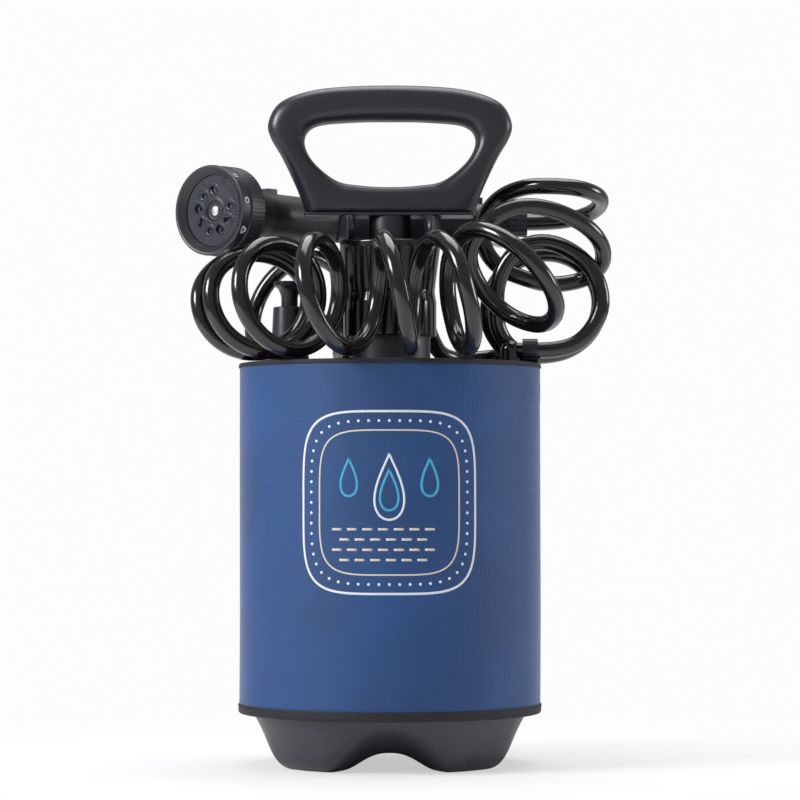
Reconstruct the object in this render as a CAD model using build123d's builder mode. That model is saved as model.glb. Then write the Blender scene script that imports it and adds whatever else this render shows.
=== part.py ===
from build123d import *
import os
from math import atan, cos, radians, sin, tan

os.makedirs("parts", exist_ok=True)

# Portable pressure shower: a water tank in a fabric sleeve, with a hand pump, a coil hose and a spray gun.
# Millimetres. The origin is on the tank's axis at floor level, +X to the right, +Y to the back, +Z up.

# Tank
tank_radius = 94.7
tank_wall = 2.4
deck_height = 266.0
shoulder_radius = 5.0
taper_height = 36.0
taper_blend = 30.0
neck_root = 1.5
neck_rim = 0.6
foot_inset = 11.7
foot_radius = tank_radius - foot_inset
foot_corner = 14.0
arch_radius = 52.0
arch_crown = 11.0
arch_rise = 18.0
neck_radius = 27.0
neck_bore = 22.0
neck_height = 34.0
neck_top = deck_height + neck_height

# Fabric sleeve round the tank, with a bound hem at each end
sleeve_gap = 0.3
sleeve_thickness = 5.0
sleeve_bottom = 34.5
lower_hem = 7.0
upper_hem = 3.5
hem_proud = 0.6
sleeve_inner = tank_radius + sleeve_gap
sleeve_outer = sleeve_inner + sleeve_thickness

# Fittings that go through the deck
fitting_thread = 5.7
thread_clearance = 0.3
fitting_bore = 3.0
thread_length = 13.0
washer_thickness = 2.0
lock_nut_radius = 9.4
lock_nut_height = 6.0
deck_underside = deck_height - tank_wall

# Relief valve
valve_inset = 27.7
valve_x = valve_inset - tank_radius
valve_flange_radius = 13.0
valve_flange_height = 3.0
valve_base_radius = 12.3
valve_top_radius = 10.8
valve_height = 38.0
valve_top = deck_height + valve_height
valve_chamber = 7.8
valve_floor_height = 11.5
valve_chamber_floor = deck_height + valve_floor_height
valve_roof = 3.0
valve_ribs = 20
knob_neck = 5.5
knob_clearance = 0.3
knob_disc_radius = 10.5
knob_disc_height = 2.2
knob_flare = 5.0
knob_height = 55.0
knob_top = deck_height + knob_height
knob_piston_radius = 7.3
knob_piston_height = 9.0
valve_pad_thickness = 2.5
spring_wire = 0.55

# Hose outlet elbow
outlet_inset = 14.7
outlet_x = tank_radius - outlet_inset
outlet_y = -12.0
outlet_axis = 8.5
outlet_flange_radius = 7.8
outlet_flange_height = 1.6
elbow_radius = 6.6
spigot_radius = 5.2
spigot_end = 18.0
barb_radius = 3.4
barb_length = 8.0
hose_nut_radius = 7.7
hose_nut_start = 8.0
dip_tube_radius = 5.0
dip_tube_bore = 3.2
dip_tube_foot = 42.0
filter_radius = 7.0
filter_height = 12.0

# Hand pump
cylinder_radius = 20.5
cylinder_wall = 3.0
cylinder_foot = 96.0
cylinder_floor = 3.0
cylinder_flange_radius = 26.6
cylinder_flange = 2.5
gasket_thickness = 1.5
head_skirt_drop = 16.0
head_skirt_bottom = neck_top - head_skirt_drop
head_skirt_radius = 31.0
head_skirt_height = 23.0
head_waist_radius = 29.8
head_waist_rise = 14.0
head_waist_height = neck_top + head_waist_rise
head_rim_radius = 33.5
head_rim = 4.3
head_rise = 47.3
head_top = neck_top + head_rise
head_wall = 4.0
head_bowl_depth = 11.0
thread_play = 0.4
bush_radius = 9.0
bush_height = 16.0
socket_rise = 24.0
socket_floor = neck_top + socket_rise
rod_radius = 5.0
rod_clearance = 0.3
boss_radius = 14.0
boss_clearance = 0.4
piston_clearance = 0.4
piston_rest = 3.0
piston_cap_height = 8.0
piston_head_height = 12.0
seal_height = 4.8
seal_depth = 3.6
collar_radius = 7.5
collar_height = 4.5
flap_radius = 11.0
flap_thickness = 1.6
flap_stem_radius = 1.4
flap_port_circle = 7.0
flap_port_radius = 1.8
flap_ports = 6

# Carrying handle on the pump rod
handle_gap = 16.7
handle_base = head_top + handle_gap
handle_height = 88.0
handle_top = handle_base + handle_height
handle_base_half = 55.5
handle_half = 81.5
handle_depth = 28.0
handle_edge = 10.0
handle_flank = ((0.231, 0.193), (0.619, 0.443), (1.0, 0.693))
side_wall = 24.5
hole_half = handle_half - side_wall
shoulder_wall = 19.6
hole_sill = 20.0
hole_bottom = handle_base + hole_sill
hole_height = 44.0
hole_top = hole_bottom + hole_height
hole_bowl = ((0.632, 0.102), (0.912, 0.409), (1.0, 0.727), (0.86, 0.932))
hole_edge = 6.5
lip_half = 57.0
lip_depth = 29.0
lip_height = 2.4
leg_radius = 34.5
leg_thickness = 6.0
leg_angle = 36.0
leg_gap = 0.7
rod_grip = 10.0
pin_radius = 1.7
pin_rise = 8.7
pin_height = head_top + pin_rise

# Spray gun: it lies on its side on the coil, and its barrel points to the front left
face_x = -119.0
face_y = -32.0
barrel_turn = 52.3
barrel_length = 121.0
dial_radius = 30.0
dial_depth = 24.0
dial_band = 3.5
dial_grooves = 30
groove_radius = 1.5
hub_radius = 16.0
dial_clearance = 0.4
plate_radius = 23.5
plate_recess = 2.0
plate_thickness = 3.0
dial_web = 3.0
port_circle = 13.6
port_radius = 2.5
port_count = 9
rose_circle = 19.6
rose_hole = 0.75
rose_count = 22
screw_radius = 2.4
screw_head = 4.0
barrel_root = 18.5
barrel_taper = 26.0
tab_place = 62.0
tab_length = 9.0
tab_width = 6.0
tab_out = 3.6
barrel_radius = 15.0
bend_radius = 15.4
grip_end = 76.0
grip_depth = 13.6
grip_height = 14.8
grip_end_depth = 10.8
grip_end_height = 12.2
inlet_radius = 7.0
inlet_length = 6.0
gun_nut_radius = 10.0
gun_nut_length = 12.0
stem_radius = 2.2
stem_head = 4.8
stem_bore = 5.4
stem_out = 4.0
stem_head_length = 6.5
stem_guide = 14.0
stem_spring_length = 20.0
stem_spring_radius = 3.7
stem_travel = 2.6
lever_thickness = 4.0
lever_height = 15.0
lever_pin_radius = 2.0
lever_pin_left = 10.0
lever_pin_back = 21.76
lug_height = 8.0
lug_radius = 4.5
ear_height = 3.2
ear_gap = 0.4
lever_tip_right = 89.0
lever_tip_back = 37.26
lever_middle = 45.0
lever_middle_back = 28.26
dial_way_out = (0, 6, 12, 18)
bail_wire = 1.2
bail_inset = 8.0
bail_x = grip_end - bail_inset
bail_reach = 34.5
bail_half = 14.3
bail_lean = 17.0
bail_stop_radius = 1.6
bail_stop_gap = 6.0
bail_stop_out = 5.0

# Hose
hose_radius = 5.5
coil_centre_x = 5.0
coil_overhang = 2.3
coil_radius = tank_radius + coil_overhang
coil_outer = 42.0
coil_wall = 3.0
coil_gap = 0.4
coil_start = 6.0
coil_end = 306.0
coil_height = deck_height + coil_gap + coil_outer
gun_rest = 0.2
gun_height = coil_height + coil_outer + bend_radius + gun_rest
gun_pocket = 1.6


def turned_outline(points, radii):
    """Closed half section in the XZ plane: runs joined by arcs, closed by a straight line."""
    with BuildSketch(Plane.XZ) as outline:
        with BuildLine():
            FilletPolyline(*points, radius=radii)
            Line(points[-1], points[0])
        make_face()
    return outline.sketch


def hose_route(points):
    """Tube centre line: straight runs joined by arcs as large as the two runs allow."""
    corners = [Vector(*point) for point in points]
    radii = []
    for before, corner, after in zip(corners, corners[1:], corners[2:]):
        turn = (corner - before).get_angle(after - corner)
        shorter = min((corner - before).length, (after - corner).length)
        radii.append(0.45 * shorter / tan(radians(turn / 2)))
    print("hose radii", [round(radius, 1) for radius in radii])
    with BuildLine() as route:
        FilletPolyline(*points, radius=radii)
    return route.line


# Tank: a blow-moulded shell on four feet, parted by four arches that rise to the outside
arch_tilt = atan(arch_rise / tank_radius)


def tank_outline(wall):
    """The tank's half section, moved inwards by a wall."""
    side = tank_radius - wall
    deck = deck_height - wall
    neck = neck_radius if wall == 0 else neck_bore
    top = neck_top if wall == 0 else neck_top + 1
    corner = foot_corner - wall
    shoulder = shoulder_radius - wall
    points = [
        (0, wall),
        (foot_radius - wall, wall),
        (side, taper_height),
        (side, deck),
        (neck, deck),
        (neck, top),
        (0, top),
    ]
    return turned_outline(points, [corner, taper_blend, shoulder, neck_root, neck_rim])


def arch_planes(wall):
    """One plane for each arch's cylinder, whose upper line rises from the crown to the outside."""
    drop = (arch_radius + wall) / cos(arch_tilt)
    planes = []
    for turn in (0, 90, 180, 270):
        outwards = Vector(cos(radians(turn)), sin(radians(turn)), tan(arch_tilt))
        origin = Vector(0, 0, arch_crown + wall - drop)
        planes.append(Plane(origin=origin, z_dir=outwards))
    return planes


tank_outside = tank_outline(0)
tank_inside = tank_outline(tank_wall)

with BuildPart() as cavity:
    revolve(tank_inside, axis=Axis.Z)
    for plane in arch_planes(tank_wall):
        with BuildSketch(plane):
            Circle(arch_radius + tank_wall)
        extrude(amount=2 * tank_radius, mode=Mode.SUBTRACT)

with BuildPart() as tank:
    revolve(tank_outside, axis=Axis.Z)
    for plane in arch_planes(0):
        with BuildSketch(plane):
            Circle(arch_radius)
        extrude(amount=2 * tank_radius, mode=Mode.SUBTRACT)
    add(cavity.part, mode=Mode.SUBTRACT)
    with BuildSketch(Plane.XY.offset(deck_height + 1)):
        with Locations((valve_x, 0), (outlet_x, outlet_y)):
            Circle(fitting_thread + thread_clearance)
    extrude(amount=-tank_wall - 2, mode=Mode.SUBTRACT)
tank.part.label = "tank"
export_step(tank.part, "parts/tank.step")

# Fabric sleeve
with BuildPart() as sleeve_panel:
    with BuildSketch(Plane.XY.offset(sleeve_bottom + lower_hem)):
        Circle(sleeve_outer)
        Circle(sleeve_inner, mode=Mode.SUBTRACT)
    extrude(amount=deck_height - upper_hem - sleeve_bottom - lower_hem)
sleeve_panel.part.label = "sleeve_panel"
export_step(sleeve_panel.part, "parts/sleeve_panel.step")

with BuildPart() as sleeve_lower_hem:
    with BuildSketch(Plane.XY.offset(sleeve_bottom)):
        Circle(sleeve_outer + hem_proud)
        Circle(sleeve_inner, mode=Mode.SUBTRACT)
    extrude(amount=lower_hem)
    fillet(sleeve_lower_hem.faces().sort_by(Axis.Z)[0].outer_wire().edges(), radius=2.0)
sleeve_lower_hem.part.label = "sleeve_lower_hem"
export_step(sleeve_lower_hem.part, "parts/sleeve_lower_hem.step")

with BuildPart() as sleeve_upper_hem:
    with BuildSketch(Plane.XY.offset(deck_height - upper_hem)):
        Circle(sleeve_outer + hem_proud)
        Circle(sleeve_inner, mode=Mode.SUBTRACT)
    extrude(amount=upper_hem)
    fillet(sleeve_upper_hem.faces().sort_by(Axis.Z)[-1].outer_wire().edges(), radius=1.4)
sleeve_upper_hem.part.label = "sleeve_upper_hem"
export_step(sleeve_upper_hem.part, "parts/sleeve_upper_hem.step")

# Relief valve: a ribbed body through the deck, and a sprung knob that is pulled up to let the air out
valve_seat_height = deck_height + washer_thickness
valve_body_outline = turned_outline(
    [
        (0, valve_seat_height),
        (valve_flange_radius, valve_seat_height),
        (valve_flange_radius, valve_seat_height + valve_flange_height),
        (valve_base_radius, valve_seat_height + valve_flange_height + 1),
        (valve_top_radius, valve_top),
        (0, valve_top),
    ],
    [0.4, 0.6, 0.4, 2.5],
)
valve_plane = Plane(origin=(valve_x, 0, 0))

with BuildPart() as valve_shape:
    revolve(valve_body_outline, axis=Axis.Z)
    with BuildSketch(Plane.XY.offset(valve_seat_height + valve_flange_height + 2)):
        with PolarLocations(valve_base_radius + 0.4, valve_ribs):
            Circle(1.1)
    extrude(amount=valve_top - valve_seat_height - valve_flange_height - 6, mode=Mode.SUBTRACT)
    with BuildSketch(Plane.XY.offset(valve_seat_height)):
        Circle(fitting_thread)
    extrude(amount=-thread_length)
    with BuildSketch(Plane.XY.offset(valve_seat_height - thread_length)):
        Circle(fitting_bore)
    extrude(amount=valve_top, mode=Mode.SUBTRACT)
    with BuildSketch(Plane.XY.offset(valve_chamber_floor)):
        Circle(valve_chamber)
    extrude(amount=valve_top - valve_roof - valve_chamber_floor, mode=Mode.SUBTRACT)
    with BuildSketch(Plane.XY.offset(valve_top - valve_roof)):
        Circle(knob_neck + knob_clearance)
    extrude(amount=2 * valve_roof, mode=Mode.SUBTRACT)

with BuildPart() as valve_body:
    add(valve_plane.location * valve_shape.part)
valve_body.part.label = "valve_body"
export_step(valve_body.part, "parts/valve_body.step")

with BuildPart() as valve_washer:
    with BuildSketch(valve_plane.offset(deck_height)):
        Circle(valve_flange_radius - 1)
        Circle(fitting_thread + thread_clearance, mode=Mode.SUBTRACT)
    extrude(amount=washer_thickness)
valve_washer.part.label = "valve_washer"
export_step(valve_washer.part, "parts/valve_washer.step")

with BuildPart() as valve_lock_nut:
    with BuildSketch(valve_plane.offset(deck_underside)):
        RegularPolygon(radius=lock_nut_radius, side_count=6, rotation=30)
        Circle(fitting_thread, mode=Mode.SUBTRACT)
    extrude(amount=-lock_nut_height)
valve_lock_nut.part.label = "valve_lock_nut"
export_step(valve_lock_nut.part, "parts/valve_lock_nut.step")

pad_top = valve_chamber_floor + valve_pad_thickness
knob_piston_top = pad_top + knob_piston_height
knob_outline = turned_outline(
    [
        (0, pad_top),
        (knob_piston_radius, pad_top),
        (knob_piston_radius, knob_piston_top),
        (knob_neck, knob_piston_top),
        (knob_neck, knob_top - knob_disc_height - knob_flare),
        (knob_disc_radius, knob_top - knob_disc_height),
        (knob_disc_radius, knob_top),
        (0, knob_top),
    ],
    [0.4, 0.4, 0.4, 4.5, 0.6, 0.8],
)
with BuildPart() as valve_knob:
    add(valve_plane.location * Solid.revolve(knob_outline.face(), 360, Axis.Z))
valve_knob.part.label = "valve_knob"
export_step(valve_knob.part, "parts/valve_knob.step")

with BuildPart() as valve_pad:
    with BuildSketch(valve_plane.offset(valve_chamber_floor)):
        Circle(knob_piston_radius - 0.6)
    extrude(amount=valve_pad_thickness)
valve_pad.part.label = "valve_pad"
export_step(valve_pad.part, "parts/valve_pad.step")

spring_space = valve_top - valve_roof - knob_piston_top
spring_radius = (knob_neck + valve_chamber) / 2
valve_spring_rise = spring_space - 2 * spring_wire - 0.1
with BuildPart() as valve_spring:
    with BuildLine(valve_plane.offset(knob_piston_top + spring_wire + 0.05)) as valve_coil:
        Helix(pitch=valve_spring_rise / 4, height=valve_spring_rise, radius=spring_radius)
    with BuildSketch(Plane(origin=valve_coil.line @ 0, z_dir=valve_coil.line % 0)):
        Circle(spring_wire)
    sweep()
valve_spring.part.label = "valve_spring"
export_step(valve_spring.part, "parts/valve_spring.step")

# Outlet elbow, its washer and lock nut, the hose nut, and the dip tube with its filter
outlet_plane = Plane(origin=(outlet_x, outlet_y, 0))
outlet_height = deck_height + outlet_axis
elbow_seat = deck_height + washer_thickness - 0.4

with BuildPart() as outlet_elbow:
    with BuildSketch(outlet_plane.offset(elbow_seat)):
        Circle(outlet_flange_radius)
    extrude(amount=outlet_flange_height)
    with BuildSketch(outlet_plane.offset(elbow_seat)):
        Circle(elbow_radius)
    extrude(amount=outlet_height - elbow_seat)
    with Locations((outlet_x, outlet_y, outlet_height)):
        Sphere(elbow_radius)
    with BuildSketch(Plane(origin=(outlet_x, outlet_y, outlet_height), z_dir=(1, 0, 0))):
        Circle(spigot_radius)
    extrude(amount=hose_nut_start + 2)
    with BuildSketch(Plane(origin=(outlet_x, outlet_y, outlet_height), z_dir=(1, 0, 0))):
        Circle(barb_radius)
    extrude(amount=spigot_end - 0.5)
    with BuildSketch(outlet_plane.offset(elbow_seat)):
        Circle(fitting_thread)
    extrude(amount=-thread_length)
    with BuildSketch(outlet_plane.offset(elbow_seat - thread_length)):
        Circle(dip_tube_bore - 0.05)
    extrude(amount=-barb_length)
    with BuildSketch(outlet_plane.offset(elbow_seat - thread_length - barb_length)):
        Circle(barb_radius / 2)
    extrude(amount=thread_length + barb_length + outlet_height - elbow_seat, mode=Mode.SUBTRACT)
    with BuildSketch(Plane(origin=(outlet_x, outlet_y, outlet_height), z_dir=(1, 0, 0))):
        Circle(barb_radius / 2)
    extrude(amount=spigot_end, mode=Mode.SUBTRACT)
outlet_elbow.part.label = "outlet_elbow"
export_step(outlet_elbow.part, "parts/outlet_elbow.step")

with BuildPart() as outlet_washer:
    with BuildSketch(outlet_plane.offset(deck_height)):
        Circle(outlet_flange_radius - 0.2)
        Circle(fitting_thread + thread_clearance, mode=Mode.SUBTRACT)
    extrude(amount=elbow_seat - deck_height)
outlet_washer.part.label = "outlet_washer"
export_step(outlet_washer.part, "parts/outlet_washer.step")

with BuildPart() as outlet_lock_nut:
    with BuildSketch(outlet_plane.offset(deck_underside)):
        RegularPolygon(radius=lock_nut_radius, side_count=6, rotation=30)
        Circle(fitting_thread, mode=Mode.SUBTRACT)
    extrude(amount=-lock_nut_height)
outlet_lock_nut.part.label = "outlet_lock_nut"
export_step(outlet_lock_nut.part, "parts/outlet_lock_nut.step")

nut_start = outlet_x + hose_nut_start
nut_end = outlet_x + spigot_end
with BuildPart() as outlet_nut:
    with BuildSketch(Plane(origin=(nut_start, outlet_y, outlet_height), z_dir=(1, 0, 0))):
        Circle(hose_nut_radius)
        with PolarLocations(hose_nut_radius + 0.3, 16):
            Circle(0.8, mode=Mode.SUBTRACT)
    extrude(amount=nut_end - nut_start)
    with BuildSketch(Plane(origin=(nut_start, outlet_y, outlet_height), z_dir=(1, 0, 0))):
        Circle(spigot_radius + 0.05)
    extrude(amount=2.1, mode=Mode.SUBTRACT)
    with BuildSketch(Plane(origin=(nut_start, outlet_y, outlet_height), z_dir=(1, 0, 0))):
        Circle(barb_radius + 0.05)
    extrude(amount=nut_end - nut_start, mode=Mode.SUBTRACT)
outlet_nut.part.label = "outlet_nut"
export_step(outlet_nut.part, "parts/outlet_nut.step")

tube_top = elbow_seat - thread_length
with BuildPart() as dip_tube:
    with BuildSketch(outlet_plane.offset(dip_tube_foot)):
        Circle(dip_tube_radius)
        Circle(dip_tube_bore, mode=Mode.SUBTRACT)
    extrude(amount=tube_top - dip_tube_foot)
dip_tube.part.label = "dip_tube"
export_step(dip_tube.part, "parts/dip_tube.step")

with BuildPart() as dip_filter:
    with BuildSketch(outlet_plane.offset(dip_tube_foot - 3)):
        Circle(filter_radius)
    extrude(amount=filter_height)
    with BuildSketch(outlet_plane.offset(dip_tube_foot)):
        Circle(dip_tube_radius + 0.05)
    extrude(amount=filter_height, mode=Mode.SUBTRACT)
    with BuildSketch(outlet_plane.offset(dip_tube_foot - 3)):
        with PolarLocations(4, 6):
            Circle(1.0)
    extrude(amount=3, mode=Mode.SUBTRACT)
dip_filter.part.label = "dip_filter"
export_step(dip_filter.part, "parts/dip_filter.step")

# Pump cylinder, hung from the neck's rim by its flange
flange_bottom = neck_top + gasket_thickness
flange_top = flange_bottom + cylinder_flange
cylinder_bore = cylinder_radius - cylinder_wall

with BuildPart() as neck_gasket:
    with BuildSketch(Plane.XY.offset(neck_top)):
        Circle(cylinder_flange_radius)
        Circle(neck_bore, mode=Mode.SUBTRACT)
    extrude(amount=gasket_thickness)
neck_gasket.part.label = "neck_gasket"
export_step(neck_gasket.part, "parts/neck_gasket.step")

with BuildPart() as pump_cylinder:
    with BuildSketch(Plane.XY.offset(cylinder_foot)):
        Circle(cylinder_radius)
    extrude(amount=flange_top - cylinder_foot)
    with BuildSketch(Plane.XY.offset(flange_bottom)):
        Circle(cylinder_flange_radius)
    extrude(amount=cylinder_flange)
    with BuildSketch(Plane.XY.offset(cylinder_foot + cylinder_floor)):
        Circle(cylinder_bore)
    extrude(amount=flange_top - cylinder_foot, mode=Mode.SUBTRACT)
    with BuildSketch(Plane.XY.offset(cylinder_foot)):
        with PolarLocations(flap_port_circle, flap_ports):
            Circle(flap_port_radius)
        Circle(flap_stem_radius + 0.1)
    extrude(amount=cylinder_floor, mode=Mode.SUBTRACT)
pump_cylinder.part.label = "pump_cylinder"
export_step(pump_cylinder.part, "parts/pump_cylinder.step")

with BuildPart() as foot_flap:
    with BuildSketch(Plane.XY.offset(cylinder_foot - flap_thickness)):
        Circle(flap_radius)
    extrude(amount=flap_thickness)
    with BuildSketch(Plane.XY.offset(cylinder_foot)):
        Circle(flap_stem_radius)
    extrude(amount=cylinder_floor)
foot_flap.part.label = "foot_flap"
export_step(foot_flap.part, "parts/foot_flap.step")

# Pump head: a glossy cap that screws over the neck, with a bowl and a socket for the handle's boss
head_skirt_top = head_skirt_bottom + head_skirt_height
head_outline = turned_outline(
    [
        (0, head_skirt_bottom),
        (head_skirt_radius, head_skirt_bottom),
        (head_skirt_radius, head_skirt_top),
        (head_waist_radius, head_waist_height),
        (head_rim_radius, head_top - head_rim),
        (head_rim_radius, head_top),
        (0, head_top),
    ],
    [0.8, 3.0, 12.0, 1.0, 1.2],
)
with BuildPart() as pump_head:
    revolve(head_outline, axis=Axis.Z)
    with BuildSketch(Plane.XY.offset(head_skirt_bottom)):
        Circle(neck_radius + thread_play)
    extrude(amount=flange_top - head_skirt_bottom, mode=Mode.SUBTRACT)
    with BuildSketch(Plane.XY.offset(flange_top)):
        Circle(bush_radius)
    extrude(amount=head_top, mode=Mode.SUBTRACT)
    with BuildSketch(Plane.XY.offset(socket_floor)):
        Circle(boss_radius + boss_clearance)
    extrude(amount=head_top, mode=Mode.SUBTRACT)
    with BuildSketch(Plane.XY.offset(head_top - head_bowl_depth)):
        Circle(head_rim_radius - head_wall)
    extrude(amount=head_bowl_depth, mode=Mode.SUBTRACT)
pump_head.part.label = "pump_head"
export_step(pump_head.part, "parts/pump_head.step")

with BuildPart() as rod_bush:
    with BuildSketch(Plane.XY.offset(flange_top)):
        Circle(bush_radius - 0.05)
        Circle(rod_radius + rod_clearance, mode=Mode.SUBTRACT)
    extrude(amount=bush_height)
rod_bush.part.label = "rod_bush"
export_step(rod_bush.part, "parts/rod_bush.step")

# Piston: a head with a cup seal and a cap below it, which hold the rod's collar between them
cap_bottom = cylinder_foot + cylinder_floor + piston_rest
cap_top = cap_bottom + piston_cap_height
piston_top = cap_top + piston_head_height
piston_radius = cylinder_bore - piston_clearance
groove_floor = piston_radius - seal_depth
groove_bottom = cap_top + (piston_head_height - seal_height) / 2

with BuildPart() as piston_cap:
    with BuildSketch(Plane.XY.offset(cap_bottom)):
        Circle(piston_radius)
    extrude(amount=piston_cap_height)
    with BuildSketch(Plane.XY.offset(cap_top)):
        Circle(collar_radius + rod_clearance)
    extrude(amount=-collar_height - 2 * rod_clearance, mode=Mode.SUBTRACT)
    with BuildSketch(Plane.XY.offset(cap_bottom)):
        with PolarLocations(12.5, 6):
            Circle(1.5)
    extrude(amount=piston_cap_height, mode=Mode.SUBTRACT)
piston_cap.part.label = "piston_cap"
export_step(piston_cap.part, "parts/piston_cap.step")

with BuildPart() as piston_head:
    with BuildSketch(Plane.XY.offset(cap_top)):
        Circle(piston_radius)
    extrude(amount=piston_head_height)
    with BuildSketch(Plane.XY.offset(groove_bottom)):
        Circle(piston_radius + 1)
        Circle(groove_floor, mode=Mode.SUBTRACT)
    extrude(amount=seal_height, mode=Mode.SUBTRACT)
    with BuildSketch(Plane.XY.offset(cap_top)):
        Circle(rod_radius + rod_clearance)
    extrude(amount=piston_head_height, mode=Mode.SUBTRACT)
piston_head.part.label = "piston_head"
export_step(piston_head.part, "parts/piston_head.step")

with BuildPart() as piston_seal:
    with BuildSketch(Plane.XY.offset(groove_bottom)):
        Circle(cylinder_bore - 0.1)
        Circle(groove_floor + 0.05, mode=Mode.SUBTRACT)
    extrude(amount=seal_height - 0.1)
piston_seal.part.label = "piston_seal"
export_step(piston_seal.part, "parts/piston_seal.step")

collar_top = cap_top - rod_clearance
with BuildPart() as pump_rod:
    with BuildSketch(Plane.XY.offset(collar_top - collar_height)):
        Circle(rod_radius)
    extrude(amount=handle_base + rod_grip - collar_top + collar_height)
    with BuildSketch(Plane.XY.offset(collar_top - collar_height)):
        Circle(collar_radius)
    extrude(amount=collar_height)
    with BuildSketch(Plane.XZ):
        with Locations((0, pin_height)):
            Circle(pin_radius)
    extrude(amount=2 * rod_radius, both=True, mode=Mode.SUBTRACT)
pump_rod.part.label = "pump_rod"
export_step(pump_rod.part, "parts/pump_rod.step")

# Carrying handle: a moulded loop with a bowl-shaped hand hole, a thin lip, a boss and two curved legs.
# The outline's points are shares of its spread and height, and the hole's of its half width and height.
handle_spread = handle_half - handle_base_half
flank_points = [
    (handle_base_half + x * handle_spread, handle_base + z * handle_height) for x, z in handle_flank
]
hole_points = [(x * hole_half, hole_bottom + z * hole_height) for x, z in hole_bowl]
hole_points[1] = (flank_points[1][0] - shoulder_wall, hole_points[1][1])
with BuildPart() as carry_handle:
    with BuildSketch(Plane.XZ):
        with BuildLine():
            base = Line((0, handle_base), (handle_base_half, handle_base))
            flank = Spline(base @ 1, *flank_points, tangents=[(0.3, 1), (0, 1)])
            Spline(
                flank @ 1,
                (0, handle_top),
                tangents=[(0, 1), (-1, 0)],
                tangent_scalars=(0.8, 1.6),
            )
            mirror(about=Plane.YZ)
        make_face()
    extrude(amount=handle_depth / 2, both=True)
    side_edges = [edge for edge in carry_handle.edges() if abs(edge.center().Y) > 1]
    outer_edges = [edge for edge in side_edges if edge.center().Z > handle_base + 1]
    fillet(outer_edges, radius=handle_edge)
    with BuildSketch(Plane.XZ):
        with BuildLine():
            bowl = Spline((0, hole_bottom), *hole_points[:3], tangents=[(1, 0), (0.05, 1)])
            Spline(bowl @ 1, hole_points[3], (0, hole_top), tangents=[(0.05, 1), (-1, 0)])
            mirror(about=Plane.YZ)
        make_face()
    extrude(amount=handle_depth, both=True, mode=Mode.SUBTRACT)
    face_edges = [edge for edge in carry_handle.edges() if abs(edge.center().Y) > handle_depth / 2 - 0.5]
    inner_edges = [edge for edge in face_edges if abs(edge.center().X) < hole_half]
    rim_edges = [edge for edge in inner_edges if hole_bottom - 1 < edge.center().Z < hole_top + 1]
    fillet(rim_edges, radius=hole_edge)
    with BuildSketch(Plane.XY.offset(handle_base)):
        RectangleRounded(2 * lip_half, lip_depth, 6)
    extrude(amount=lip_height)
    with BuildSketch(Plane.XY.offset(socket_floor + 1)):
        Circle(boss_radius)
    extrude(amount=handle_base - socket_floor - 1)
    with BuildSketch(Plane.XY.offset(head_top + leg_gap)):
        with BuildLine():
            outside = CenterArc((0, 0), leg_radius, -leg_angle, 2 * leg_angle)
            inside = CenterArc((0, 0), leg_radius - leg_thickness, -leg_angle, 2 * leg_angle)
            Line(outside @ 0, inside @ 0)
            Line(outside @ 1, inside @ 1)
        make_face()
        mirror(about=Plane.YZ)
    extrude(amount=handle_base - head_top - leg_gap)
    with BuildSketch(Plane.XY.offset(socket_floor + 1)):
        Circle(rod_radius + 0.05)
    extrude(amount=handle_base + rod_grip - socket_floor - 1, mode=Mode.SUBTRACT)
    with BuildSketch(Plane.XZ):
        with Locations((0, pin_height)):
            Circle(pin_radius)
    extrude(amount=boss_radius + 1, both=True, mode=Mode.SUBTRACT)
carry_handle.part.label = "carry_handle"
export_step(carry_handle.part, "parts/carry_handle.step")

with BuildPart() as rod_pin:
    with BuildSketch(Plane.XZ):
        with Locations((0, pin_height)):
            Circle(pin_radius - 0.05)
    extrude(amount=boss_radius - 0.3, both=True)
rod_pin.part.label = "rod_pin"
export_step(rod_pin.part, "parts/rod_pin.step")

# Spray gun. Distances along the barrel are counted from the nozzle face.
barrel_way = Vector(cos(radians(barrel_turn)), sin(radians(barrel_turn)), 0)
face_centre = Vector(face_x, face_y, gun_height)
bend = face_centre + barrel_way * barrel_length


def barrel_plane(distance):
    """Plane across the barrel, its local X up and its normal to the back."""
    return Plane(origin=face_centre + barrel_way * distance, x_dir=(0, 0, 1), z_dir=barrel_way)


def grip_plane(x):
    """Plane across the grip, its local X to the back and its normal to the right."""
    return Plane(origin=(x, bend.Y, gun_height), x_dir=(0, 1, 0), z_dir=(1, 0, 0))


plate_back = plate_recess + plate_thickness
hub_front = plate_back + dial_web + dial_clearance
with BuildPart() as gun_dial:
    with BuildSketch(barrel_plane(0)):
        Circle(dial_radius - 1.4)
    extrude(amount=dial_band)
    with BuildSketch(barrel_plane(dial_band)):
        Circle(dial_radius)
        with PolarLocations(dial_radius + 0.4, dial_grooves):
            Circle(groove_radius, mode=Mode.SUBTRACT)
    extrude(amount=dial_depth - dial_band - 3)
    with BuildSketch(barrel_plane(dial_depth - 3)):
        Circle(dial_radius - 1.4)
    extrude(amount=3, taper=30)
    with BuildSketch(barrel_plane(0)):
        Circle(plate_radius + 0.3)
    extrude(amount=plate_back, mode=Mode.SUBTRACT)
    with BuildSketch(barrel_plane(plate_back + dial_web)):
        Circle(hub_radius + dial_clearance)
    extrude(amount=dial_depth, mode=Mode.SUBTRACT)
    with BuildSketch(barrel_plane(plate_back)):
        Circle(screw_radius + dial_clearance)
    extrude(amount=dial_web, mode=Mode.SUBTRACT)
gun_dial.part.label = "gun_dial"
export_step(gun_dial.part, "parts/gun_dial.step")

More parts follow.
